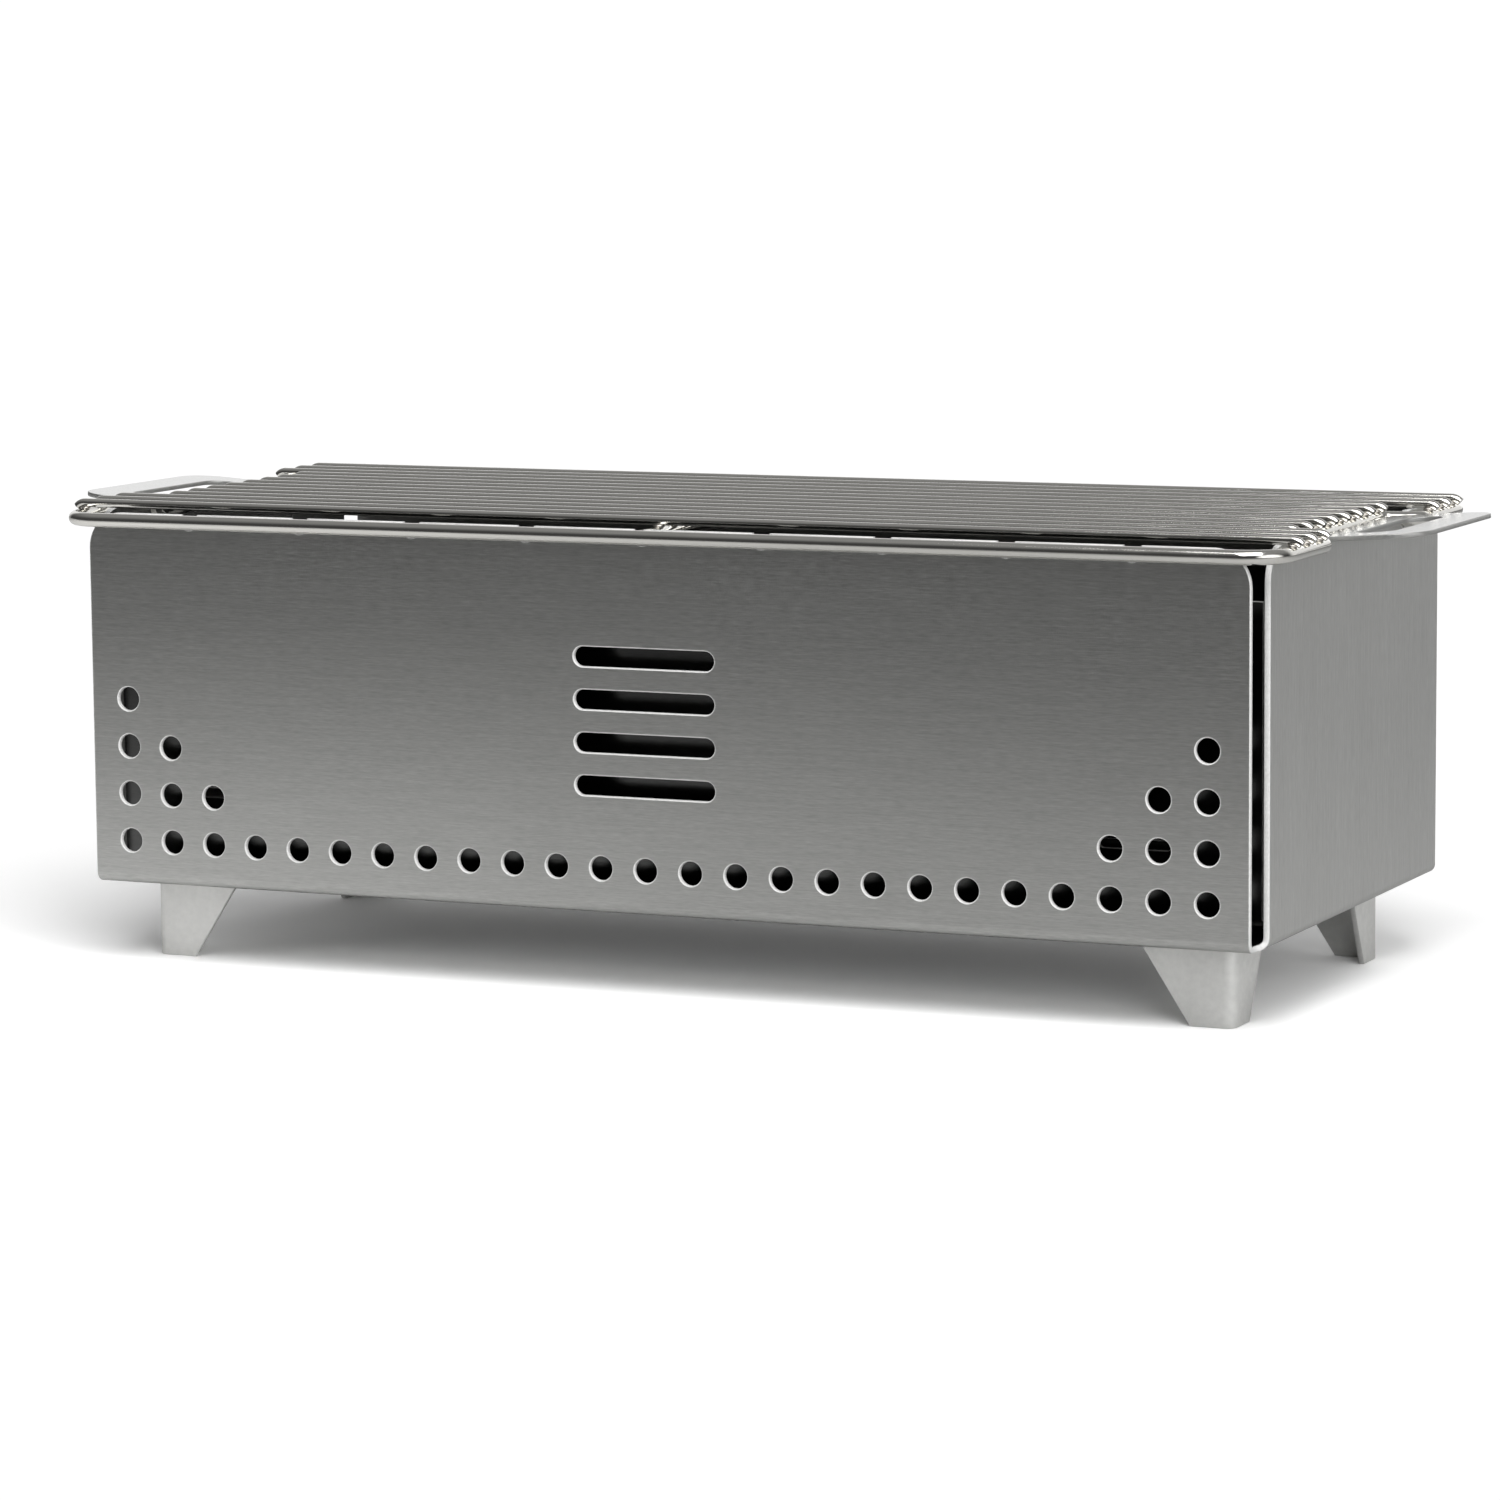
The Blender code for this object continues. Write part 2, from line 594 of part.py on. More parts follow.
def frame_path():
    """The frame's centre line, once round: it steps in beside each handle."""
    step_out = RECESS_Y + RECESS_BEND
    step_in = RECESS_Y - RECESS_BEND
    outer_x = RAIL_X - RECESS_BEND
    inner_x = INNER_RAIL_X + RECESS_BEND
    corner_x = RAIL_X - FRAME_CORNER
    corner_y = RAIL_Y - FRAME_CORNER
    quarter = (
        arc(inner_x, step_in, RECESS_BEND, 180, 90)
        + arc(outer_x, step_out, RECESS_BEND, 270, 360)
        + arc(corner_x, corner_y, FRAME_CORNER, 0, 90, 6)
    )
    back_right = quarter
    back_left = [(-x, y) for x, y in reversed(quarter)]
    front_left = [(-x, -y) for x, y in quarter]
    front_right = [(x, -y) for x, y in reversed(quarter)]
    return [(x, y, FRAME_LEVEL) for x, y in back_right + back_left + front_left + front_right]


def rod_path(y, rail_x):
    """A top rod's centre line: straight across, each end bent down round the frame's rail."""
    bent = []
    for x, z in arc(rail_x, FRAME_LEVEL, ROD_OFFSET, 90, 90 - math.degrees(ROD_HOOK), 3):
        bent.append((x, y, z))
    return [(-x, y, z) for x, y, z in reversed(bent)] + bent


def make_grate(parts, material):
    wire("grate_frame", frame_path(), FRAME_ROD, True, parts, material)
    reach = RAIL_Y - FRAME_ROD / 2 - GAP
    middle = [(0, -reach, FRAME_LEVEL), (0, reach, FRAME_LEVEL)]
    wire("grate_cross_rod", middle, FRAME_ROD, False, parts, material)
    count = fitted(BODY_DEPTH - 2 * ROD_EDGE_MARGIN, ROD_PITCH)
    for number, y in enumerate(spaced(count, ROD_PITCH), start=1):
        rail_x = INNER_RAIL_X if abs(y) < RECESS_Y else RAIL_X
        wire(f"grate_rod_{number:02d}", rod_path(y, rail_x), TOP_ROD, False, parts, material)


def main():
    clear_scene()
    parts = new_collection("tabletop_grill")
    cutters = new_collection("cutters")
    brushed = metal("brushed_steel", STEEL, 0.38)
    bright = metal("bright_wire", BRIGHT_STEEL, 0.12)
    dark = metal("dark_sheet", DARK_STEEL, 0.45)
    make_body(parts, cutters, brushed)
    for sign_y in (-1, 1):
        for sign_x in (-1, 1):
            make_foot(sign_x, sign_y, parts, cutters, brushed)
    for place in rivet_places():
        make_rivet(*place, parts, bright)
    make_fire_box(parts, cutters, brushed)
    make_charcoal_grid(parts, cutters, dark)
    make_grate(parts, bright)


main()
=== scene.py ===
"""A portable tabletop grill: its sheet metal, wire grate and finishes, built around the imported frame."""

import math

import bmesh
import bpy
from mathutils import Matrix, Vector

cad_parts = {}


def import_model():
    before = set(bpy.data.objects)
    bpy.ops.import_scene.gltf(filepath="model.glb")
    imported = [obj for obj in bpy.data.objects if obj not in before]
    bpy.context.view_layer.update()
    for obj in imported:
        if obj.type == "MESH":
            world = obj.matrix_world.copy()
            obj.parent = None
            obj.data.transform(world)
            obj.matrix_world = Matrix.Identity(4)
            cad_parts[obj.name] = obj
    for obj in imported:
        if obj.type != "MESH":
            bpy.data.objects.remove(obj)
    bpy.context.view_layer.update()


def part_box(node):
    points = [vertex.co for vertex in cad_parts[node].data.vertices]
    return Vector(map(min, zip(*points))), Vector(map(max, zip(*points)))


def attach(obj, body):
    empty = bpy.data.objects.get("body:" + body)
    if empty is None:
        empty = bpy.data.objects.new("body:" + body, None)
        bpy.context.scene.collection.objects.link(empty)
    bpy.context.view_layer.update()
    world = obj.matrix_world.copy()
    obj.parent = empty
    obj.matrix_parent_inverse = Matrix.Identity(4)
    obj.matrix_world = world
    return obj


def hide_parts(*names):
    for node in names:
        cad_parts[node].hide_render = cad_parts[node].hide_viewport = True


# Outer body, a cross-shaped sheet folded up on four sides
BODY_SHEET = 0.002
BODY_BEND = 0.0035  # outer radius of its folds
FRONT_EDGE_INSET = 0.0031
SIDE_EDGE_INSET = 0.0092
WALL_CORNER = 0.012
CORNER_RELIEF = 0.0045
SHEET_BREAK = 0.0004  # how far a cut edge is dressed off
FOLD_MARGIN = 0.0004  # flat strip cut beside each fold, which keeps its shading off the flats
BEND_STEPS = 8  # faces round a quarter turn

# Vents and notches
HOLE_DIAMETER = 0.008
HOLE_PITCH = 0.016
HOLE_COLUMNS = 25
HOLE_ROW_HEIGHT = 0.0148
HOLE_STEPS = (3, 2, 1)
LOUVRE_LENGTH = 0.050
LOUVRE_HEIGHT = 0.0065
LOUVRE_PITCH = 0.0140
LOUVRE_COUNT = 4
NOTCH_WIDTH = 0.006
NOTCH_DEPTH = 0.0052
NOTCH_PITCH = 0.0418
NOTCH_COUNT = 9
RAIL_SLOT_WIDTH = 0.0074
RAIL_SLOT_DEPTH = 0.0054
HANDLE_RECESS_DEPTH = 0.0028
RECESS_MEETS_SLOT = 0.0002  # how far the lowered rim stops short of a slot's side

# Feet
FOOT_SHEET = 0.002
FOOT_BEND = 0.004
FOOT_LEG_TOP_X = 0.031
FOOT_LEG_TOP_Y = 0.0275
FOOT_LEG_BOTTOM = 0.0148
FOOT_FLANGE_LENGTH = 0.032
FOOT_FLANGE_DEPTH = 0.021
FOOT_FLANGE_INSET = 0.001
RIVET_SHANK = 0.0040
RIVET_HEAD = 0.0078
RIVET_HEAD_HEIGHT = 0.0018

# Fire box and its handles
BOX_SHEET = 0.0015
BOX_BEND = 0.003
BOX_EDGE_BREAK = 0.0002
BOX_END_GAP = 0.0013  # body's side wall to the fire box
BOX_RIM_DROP = 0.0178  # body's rim down to the fire box's rim
BOX_SEAM = 0.0001  # between two walls that meet at a corner
HANDLE_WIDTH = 0.084
HANDLE_BEND = 0.003
HANDLE_SLOPE = math.radians(4.0)
HANDLE_CORNER = 0.012
HANDLE_FILLET = 0.004  # where a handle rises from its end wall's rim
HAND_SLOT_LENGTH = 0.060
HAND_SLOT_WIDTH = 0.0135
HAND_SLOT_EDGE = 0.0205
SLIT_LENGTH = 0.024
SLIT_HEIGHT = 0.003
SLIT_PITCH = 0.036
SLIT_COUNT = 10
SLIT_LEVEL = 0.0245

# Charcoal grid
GRID_SHEET = 0.0015
GRID_SLOT_LENGTH = 0.026
GRID_SLOT_WIDTH = 0.007
GRID_SLOT_PITCH_X = 0.042
GRID_SLOT_PITCH_Y = 0.018
GRID_COLUMNS = 9
GRID_ROWS = 7

# Grate
FRAME_ROD = 0.0048
TOP_ROD = 0.0030
FRAME_CORNER = 0.013
RECESS_DEPTH = 0.0140  # how far the frame steps in beside a handle
RECESS_BEND = 0.0045
RECESS_Y = 0.048
ROD_PITCH = 0.0126
ROD_COUNT = 14
SHORT_RODS = range(4, 12)  # the rods that end on the inner rails, beside the handles
ROD_HOOK = 45  # degrees that a rod's end bends down round the rail
BEAD_RADIUS = 0.0017
BEAD_HALF_HEIGHT = 0.0007
BEAD_SIZES = (0.85, 1.15)  # smallest and largest share of the full size
GAP = 0.0003  # between pieces that touch

# Camera, as it stands to the right of the front, a little above the rim
CAMERA_PLACE = (0.7534, -1.6690, 0.3086)
CAMERA_TURN = math.radians(24.458)
CAMERA_PITCH = math.radians(7.423)
CAMERA_ROLL = math.radians(-0.494)
CAMERA_LENS = 131.1

# Light
WHITE = 1.05  # strength of the plain white that stands behind the object
FLOOR_REACH = 6.0
FLOOR_SEEN = 1.2  # how pale the floor itself looks
FLOOR_BLEND = (0.235, 0.44)  # distances between which the floor fades into the white behind it
FLOOR_FRONT = (-0.85, -0.25, 0.16, 0.92)  # the steel sees the floor dimmer: y from, to, level from, to
FLOOR_BACK = (0.15, 0.7, 1.0, 0.95)
FLOOR_RIGHT = (-0.35, 0.0, 1.0, 0.57)  # x from, to, level from, to
SKY_BASE = 0.08
SKY_GLOWS = (  # toward, inner and outer angle, strength
    ((0.0, 0.15, 1.0), 25, 80, 0.30),
    ((0.3, 1.0, 0.12), 18, 42, 1.1),
    ((-0.5, 1.0, 0.12), 18, 42, 0.62),
    ((-0.62, 0.80, 0.26), 9, 21, 0.5),
    ((0.93, -0.37, 0.12), 16, 38, 2.2),
)
LAMP_TARGET = (0, 0, 0.08)
LAMPS = (  # name, place, width, height, power, whether polished steel mirrors it
    ("key lamp", (0.40, -0.75, 1.25), 1.1, 1.1, 20, True),
    ("left lamp", (-1.35, -1.15, 0.42), 0.8, 0.6, 4, False),
    ("right lamp", (1.00, -1.30, 0.50), 0.6, 0.6, 10, False),
)

# Maps and attributes that folding leaves on a sheet
GRAIN = "grain"  # the map that holds a sheet's place in its flat blank, in metres
GRAIN_WAY = "grain way"  # the way that the sheet was brushed, after folding
UPPER_FACE = "upper face"  # 1 on the blank's upper face, 0 on its lower face


# Outlines


def arc(centre_x, centre_y, radius, start, end, steps=8):
    """Points along an arc, both ends included; the angles are in degrees."""
    points = []
    for i in range(steps + 1):
        angle = math.radians(start + (end - start) * i / steps)
        points.append((centre_x + radius * math.cos(angle), centre_y + radius * math.sin(angle)))
    return points


def circle(centre_x, centre_y, diameter, sides=40):
    return arc(centre_x, centre_y, diameter / 2, 0, 360 * (sides - 1) / sides, sides - 1)


def obround(centre_x, centre_y, length, width, steps=12):
    """A slot with round ends, `length` along x over all."""
    reach = (length - width) / 2
    right = arc(centre_x + reach, centre_y, width / 2, -90, 90, steps)
    left = arc(centre_x - reach, centre_y, width / 2, 90, 270, steps)
    return right + left


def turned(points):
    """The outline with x and y exchanged, still running the same way round."""
    return [(y, x) for x, y in reversed(points)]


def moved(points, x, y):
    return [(a + x, b + y) for a, b in points]


def spaced(count, pitch):
    return [(i - (count - 1) / 2) * pitch for i in range(count)]


# Sheet metal: a flat blank, cut and dressed, then folded


def new_object(name, mesh):
    obj = bpy.data.objects.new(name, mesh)
    bpy.context.scene.collection.objects.link(obj)
    return obj


def solid_of(obj, name):
    """The object with its curve and modifiers made into a plain mesh."""
    bpy.context.view_layer.update()
    graph = bpy.context.evaluated_depsgraph_get()
    mesh = bpy.data.meshes.new_from_object(obj.evaluated_get(graph))
    bpy.data.objects.remove(obj)
    mesh.name = name
    return new_object(name, mesh)


def welded(obj, distance=1e-7):
    shape = bmesh.new()
    shape.from_mesh(obj.data)
    bmesh.ops.remove_doubles(shape, verts=shape.verts, dist=distance)
    bmesh.ops.recalc_face_normals(shape, faces=shape.faces)
    shape.to_mesh(obj.data)
    shape.free()


def blank(name, outlines, sheet, edge_break=SHEET_BREAK):
    """A flat sheet cut to the outlines, lying in X and Y, with its cut edges rounded off."""
    curve = bpy.data.curves.new(name, "CURVE")
    curve.dimensions = "2D"
    curve.fill_mode = "BOTH"
    curve.extrude = sheet / 2 - edge_break
    curve.bevel_depth = edge_break
    curve.bevel_resolution = 1
    curve.offset = -edge_break
    for outline in outlines:
        spline = curve.splines.new("POLY")
        spline.points.add(len(outline) - 1)
        spline.use_cyclic_u = True
        for point, (x, y) in zip(spline.points, outline):
            point.co = (x, y, 0, 1)
    flat = solid_of(new_object(name, curve), name)
    welded(flat, 1e-6)
    return flat


def fold_moves(flat, radius, angle):
    """A straight run and then a fold: each move is a length and the angle turned in it."""
    return [(flat, 0.0), (radius * abs(angle), angle)]


def along(moves, distance):
    """Where a sheet's middle surface is after that distance: outward, up, heading."""
    outward, up, heading = 0.0, 0.0, 0.0
    for length, turn in moves:
        step = min(distance, length)
        if turn == 0:
            outward += step * math.cos(heading)
            up += step * math.sin(heading)
        else:
            radius = length / abs(turn)
            new_heading = heading + turn * step / length
            side = math.copysign(radius, turn)
            outward += side * (math.sin(new_heading) - math.sin(heading))
            up += side * (math.cos(heading) - math.cos(new_heading))
            heading = new_heading
        distance -= step
        if distance <= 0:
            break
    return outward, up, heading


def fold_lines(moves):
    """Distances at which the blank is cut across, so that its folds come out round."""
    lines = []
    distance = 0.0
    for length, turn in moves:
        if turn != 0:
            steps = max(3, round(BEND_STEPS * abs(turn) / (math.pi / 2)))
            lines += [distance + length * i / steps for i in range(steps + 1)]
            lines += [distance - FOLD_MARGIN, distance + length + FOLD_MARGIN]
        distance += length
    return lines


def cut_across(shape, axis, distance):
    normal = Vector((axis == 0, axis == 1, 0))
    for side in (-1, 1):
        geometry = shape.verts[:] + shape.edges[:] + shape.faces[:]
        bmesh.ops.bisect_plane(
            shape, geom=geometry, plane_co=normal * side * distance, plane_no=normal, dist=1e-6
        )


def folded(obj, moves_x, moves_y, base):
    """Folds a blank: what lies past the first run of moves_x or moves_y goes up along it.

    The sheet's two faces take its first finish, and its cut edges the second.
    """
    shape = bmesh.new()
    shape.from_mesh(obj.data)
    for axis, moves in ((0, moves_x), (1, moves_y)):
        for distance in fold_lines(moves):
            cut_across(shape, axis, distance)
    grain = shape.loops.layers.uv.new(GRAIN)
    sides = []  # 1 on the sheet's upper face, -1 on its lower face, 0 on a cut edge
    for face in shape.faces:
        lifts = [vert.co.z for vert in face.verts]
        level = max(lifts) - min(lifts) < 1e-5
        face.material_index = 0 if level else 1
        sides.append(math.copysign(1, lifts[0]) if level else 0)
        for loop in face.loops:
            loop[grain].uv = loop.vert.co.xy
    ways = []
    ups = []
    uppers = [float(vert.co.z > 0) for vert in shape.verts]
    for vert in shape.verts:
        x, y, lift = vert.co
        past_x = abs(x) - moves_x[0][0]
        past_y = abs(y) - moves_y[0][0] if moves_y else -1.0
        up, heading = 0.0, 0.0
        way = Vector((1, 0, 0))
        normal = Vector((0, 0, 1))
        if past_y > max(0.0, past_x):
            outward, up, heading = along(moves_y, abs(y))
            side = math.copysign(1, y)
            y = side * (outward - lift * math.sin(heading))
            normal = Vector((0, -side * math.sin(heading), math.cos(heading)))
        elif past_x > 0:
            outward, up, heading = along(moves_x, abs(x))
            side = math.copysign(1, x)
            x = side * (outward - lift * math.sin(heading))
            normal = Vector((-side * math.sin(heading), 0, math.cos(heading)))
            way = Vector((math.cos(heading), 0, side * math.sin(heading)))
        vert.co = (x, y, base + up + lift * math.cos(heading))
        ways.extend(way)
        ups.append(normal)
    shape.to_mesh(obj.data)
    shape.free()
    grain_way = obj.data.attributes.new(GRAIN_WAY, "FLOAT_VECTOR", "POINT")
    grain_way.data.foreach_set("vector", ways)
    upper_face = obj.data.attributes.new(UPPER_FACE, "FLOAT", "POINT")
    upper_face.data.foreach_set("value", uppers)
    finish_shading(obj, 50)
    shade_as_folded(obj.data, sides, ups)


def shade_as_folded(mesh, sides, ups):
    """Gives each face of the sheet its true direction, so that only the cut edges are averaged."""
    normals = [Vector((0, 0, 0))] * len(mesh.loops)
    for face, side in zip(mesh.polygons, sides):
        for corner in face.loop_indices:
            normals[corner] = ups[mesh.loops[corner].vertex_index] * side
    mesh.normals_split_custom_set(normals)


def finish_shading(obj, angle=24):
    obj.data.shade_smooth()
    obj.data.set_sharp_from_angle(angle=math.radians(angle))


def paint(obj, *materials):
    """Adds the finishes; the faces already hold which of them they take."""
    for material in materials:
        obj.data.materials.append(material)


def sweep(name, points, diameter, closed, sides_quarter=4):
    """A round rod along the points."""
    curve = bpy.data.curves.new(name, "CURVE")
    curve.dimensions = "3D"
    curve.bevel_depth = diameter / 2
    curve.bevel_resolution = sides_quarter
    curve.use_fill_caps = not closed
    spline = curve.splines.new("POLY")
    spline.points.add(len(points) - 1)
    spline.use_cyclic_u = closed
    for point, place in zip(spline.points, points):
        point.co = (*place, 1)
    rod = solid_of(new_object(name, curve), name)
    welded(rod)
    finish_shading(rod, 40)
    return rod


# Copies, by geometry nodes


def copies_tree():
    """A node tree that sets a copy of Shape on each point of the object's own mesh."""
    tree = bpy.data.node_groups.new("copies on points", "GeometryNodeTree")
    face = tree.interface
    face.new_socket(name="Places", in_out="INPUT", socket_type="NodeSocketGeometry")
    face.new_socket(name="Shape", in_out="INPUT", socket_type="NodeSocketObject")
    face.new_socket(name="Finish", in_out="INPUT", socket_type="NodeSocketMaterial")
    face.new_socket(name="Smallest", in_out="INPUT", socket_type="NodeSocketFloat")
    face.new_socket(name="Largest", in_out="INPUT", socket_type="NodeSocketFloat")
    face.new_socket(name="Seed", in_out="INPUT", socket_type="NodeSocketInt")
    face.new_socket(name="Copies", in_out="OUTPUT", socket_type="NodeSocketGeometry")
    nodes, link = tree.nodes, tree.links.new
    given = nodes.new("NodeGroupInput")
    shape = nodes.new("GeometryNodeObjectInfo")
    size = nodes.new("FunctionNodeRandomValue")
    size.data_type = "FLOAT"
    place = nodes.new("GeometryNodeInstanceOnPoints")
    real = nodes.new("GeometryNodeRealizeInstances")
    finish = nodes.new("GeometryNodeSetMaterial")
    result = nodes.new("NodeGroupOutput")
    link(given.outputs["Shape"], shape.inputs["Object"])
    link(given.outputs["Smallest"], size.inputs[2])
    link(given.outputs["Largest"], size.inputs[3])
    link(given.outputs["Seed"], size.inputs["Seed"])
    link(given.outputs["Places"], place.inputs["Points"])
    link(shape.outputs["Geometry"], place.inputs["Instance"])
    link(size.outputs[1], place.inputs["Scale"])
    link(place.outputs["Instances"], real.inputs["Geometry"])
    link(real.outputs["Geometry"], finish.inputs["Geometry"])
    link(given.outputs["Finish"], finish.inputs["Material"])
    link(finish.outputs["Geometry"], result.inputs["Copies"])
    return tree


def copies(name, tree, places, shape, finish, smallest=1.0, largest=1.0, seed=0):
    """One mesh of copies of the shape, which is used up."""
    mesh = bpy.data.meshes.new(name)
    mesh.from_pydata(places, [], [])
    holder = new_object(name, mesh)
    modifier = holder.modifiers.new("copies", "NODES")
    modifier.node_group = tree
    values = {
        "Shape": shape,
        "Finish": finish,
        "Smallest": smallest,
        "Largest": largest,
        "Seed": seed,
    }
    for item in tree.interface.items_tree:
        if item.name in values:
            modifier[item.identifier] = values[item.name]
    made = solid_of(holder, name)
    bpy.data.objects.remove(shape)
    return made


# Materials


def steel(name, colour, roughness):
    """A plain metal: the material, its nodes, what links them, and its shader."""
    material = bpy.data.materials.new(name)
    material.use_nodes = True
    shader = material.node_tree.nodes["Principled BSDF"]
    shader.inputs["Base Color"].default_value = (*colour, 1)
    shader.inputs["Metallic"].default_value = 1.0
    shader.inputs["Roughness"].default_value = roughness
    return material, material.node_tree.nodes, material.node_tree.links.new, shader


def stretched_noise(nodes, link, source, scale, detail=3.0, distortion=0.0):
    """Noise drawn out into streaks: scale is how many features fit in a metre along each axis."""
    mapping = nodes.new("ShaderNodeMapping")
    mapping.inputs["Scale"].default_value = scale
    noise = nodes.new("ShaderNodeTexNoise")
    noise.inputs["Scale"].default_value = 1.0
    noise.inputs["Detail"].default_value = detail
    noise.inputs["Roughness"].default_value = 0.55
    noise.inputs["Distortion"].default_value = distortion
    link(source, mapping.inputs["Vector"])
    link(mapping.outputs["Vector"], noise.inputs["Vector"])
    return noise.outputs["Fac"]


def spread(nodes, link, value, low, high, to_low, to_high):
    """The value moved from its range low to high into the range to_low to to_high."""
    change = nodes.new("ShaderNodeMapRange")
    change.inputs["From Min"].default_value = low
    change.inputs["From Max"].default_value = high
    change.inputs["To Min"].default_value = to_low
    change.inputs["To Max"].default_value = to_high
    link(value, change.inputs["Value"])
    return change.outputs["Result"]


def toned(nodes, link, noise, darkest, lightest=1.0):
    """Noise, which keeps near its middle, widened into the range from darkest to lightest."""
    return spread(nodes, link, noise, 0.3, 0.7, darkest, lightest)


def arithmetic(nodes, link, operation, first, second):
    node = nodes.new("ShaderNodeMath")
    node.operation = operation
    for socket, value in zip(node.inputs, (first, second)):
        if isinstance(value, (int, float)):
            socket.default_value = value
        else:
            link(value, socket)
    return node.outputs["Value"]


def tinted(nodes, link, shader, colour, strength):
    """Multiplies the colour by a grey value and gives it to the shader."""
    mix = nodes.new("ShaderNodeMix")
    mix.data_type = "RGBA"
    mix.blend_type = "MULTIPLY"
    mix.inputs["Factor"].default_value = 1.0
    mix.inputs[6].default_value = (*colour, 1)
    link(strength, mix.inputs[7])
    link(mix.outputs[2], shader.inputs["Base Color"])


def brushed_sheet(name, colour, roughness, anisotropy, streak_depth, painted_shade_below=None, inner=1.0):
    """Sheet brushed along its blank's x: streaks in colour, roughness and height.

    Painted shade darkens the colour below the height given as its fourth argument, and on its upper face,
    the inside once folded, by the factor inner.
    """
    material, nodes, link, shader = steel(name, colour, roughness)
    place = nodes.new("ShaderNodeUVMap")
    place.uv_map = GRAIN
    fine = stretched_noise(nodes, link, place.outputs["UV"], (230, 2300, 1))
    long = stretched_noise(nodes, link, place.outputs["UV"], (40, 900, 1))
    broad = stretched_noise(nodes, link, place.outputs["UV"], (1.5, 34, 1), 2.0)
    fine_tone = toned(nodes, link, fine, 1 - streak_depth)
    long_tone = toned(nodes, link, long, 1 - streak_depth * 0.6)
    broad_tone = toned(nodes, link, broad, 0.95)
    tone = arithmetic(nodes, link, "MULTIPLY", fine_tone, long_tone)
    tone = arithmetic(nodes, link, "MULTIPLY", tone, broad_tone)
    # painted shade: below this height the sheet's colour is darkened down to 0.15
    if painted_shade_below is not None:
        where = nodes.new("ShaderNodeTexCoord")
        height = nodes.new("ShaderNodeSeparateXYZ")
        link(where.outputs["Object"], height.inputs["Vector"])
        painted_shade_low = spread(nodes, link, height.outputs["Z"], painted_shade_below - 0.006, painted_shade_below, 0.15, 1.0)
        tone = arithmetic(nodes, link, "MULTIPLY", tone, painted_shade_low)
    # painted shade: the colour of the upper face, inside the folded sheet, is multiplied by inner
    if inner != 1.0:
        upper = nodes.new("ShaderNodeAttribute")
        upper.attribute_name = UPPER_FACE
        painted_inner_shade = spread(nodes, link, upper.outputs["Fac"], 0.0, 1.0, 1.0, inner)
        tone = arithmetic(nodes, link, "MULTIPLY", tone, painted_inner_shade)
    tinted(nodes, link, shader, colour, tone)
    rough = toned(nodes, link, fine, roughness - 0.05, roughness + 0.05)
    link(rough, shader.inputs["Roughness"])
    bump = nodes.new("ShaderNodeBump")
    bump.inputs["Strength"].default_value = 0.25
    bump.inputs["Distance"].default_value = 0.00002
    link(fine, bump.inputs["Height"])
    link(bump.outputs["Normal"], shader.inputs["Normal"])
    shader.inputs["Anisotropic"].default_value = anisotropy
    way = nodes.new("ShaderNodeAttribute")
    way.attribute_name = GRAIN_WAY
    link(way.outputs["Vector"], shader.inputs["Tangent"])
    return material


def cut_edge(name, colour, metallic):
    """The slightly rough edge that a laser leaves, with its fine drag lines."""
    material, nodes, link, shader = steel(name, colour, 0.42)
    shader.inputs["Metallic"].default_value = metallic
    place = nodes.new("ShaderNodeTexCoord")
    marks = stretched_noise(nodes, link, place.outputs["Object"], (900, 900, 900), 2.0)
    tone = toned(nodes, link, marks, 0.86)
    tinted(nodes, link, shader, colour, tone)
    rough = toned(nodes, link, marks, 0.36, 0.5)
    link(rough, shader.inputs["Roughness"])
    return material


def matt_sheet(name):
    """Plain mill-finished sheet, softly mottled."""
    colour = (0.82, 0.82, 0.80)
    material, nodes, link, shader = steel(name, colour, 0.5)
    shader.inputs["Metallic"].default_value = 0.7
    place = nodes.new("ShaderNodeTexCoord")
    marks = stretched_noise(nodes, link, place.outputs["Object"], (420, 420, 420))
    cloud = stretched_noise(nodes, link, place.outputs["Object"], (60, 60, 60))
    marked = toned(nodes, link, marks, 0.9)
    clouded = toned(nodes, link, cloud, 0.92)
    tone = arithmetic(nodes, link, "MULTIPLY", marked, clouded)
    tinted(nodes, link, shader, colour, tone)
    rough = toned(nodes, link, marks, 0.44, 0.56)
    link(rough, shader.inputs["Roughness"])
    return material


def bright_rod(name, roughness):
    """Polished rod with faint drawing lines and a little haze."""
    colour = (0.70, 0.688, 0.652)
    material, nodes, link, shader = steel(name, colour, roughness)
    place = nodes.new("ShaderNodeTexCoord")
    haze = stretched_noise(nodes, link, place.outputs["Object"], (60, 60, 60))
    drawn = stretched_noise(nodes, link, place.outputs["Object"], (40, 2200, 2200))
    tone = toned(nodes, link, drawn, 0.92)
    tinted(nodes, link, shader, colour, tone)
    rough = toned(nodes, link, haze, roughness * 0.7, roughness * 1.5)
    link(rough, shader.inputs["Roughness"])
    return material


def weld_metal(name):
    """The slightly tinted, uneven metal of a spot weld."""
    colour = (0.62, 0.59, 0.55)
    material, nodes, link, shader = steel(name, colour, 0.35)
    place = nodes.new("ShaderNodeTexCoord")
    marks = stretched_noise(nodes, link, place.outputs["Object"], (700, 700, 700))
    tone = toned(nodes, link, marks, 0.75)
    tinted(nodes, link, shader, colour, tone)
    bump = nodes.new("ShaderNodeBump")
    bump.inputs["Strength"].default_value = 0.4
    bump.inputs["Distance"].default_value = 0.0002
    link(marks, bump.inputs["Height"])
    link(bump.outputs["Normal"], shader.inputs["Normal"])
    return material


# Stage: camera, light and floor


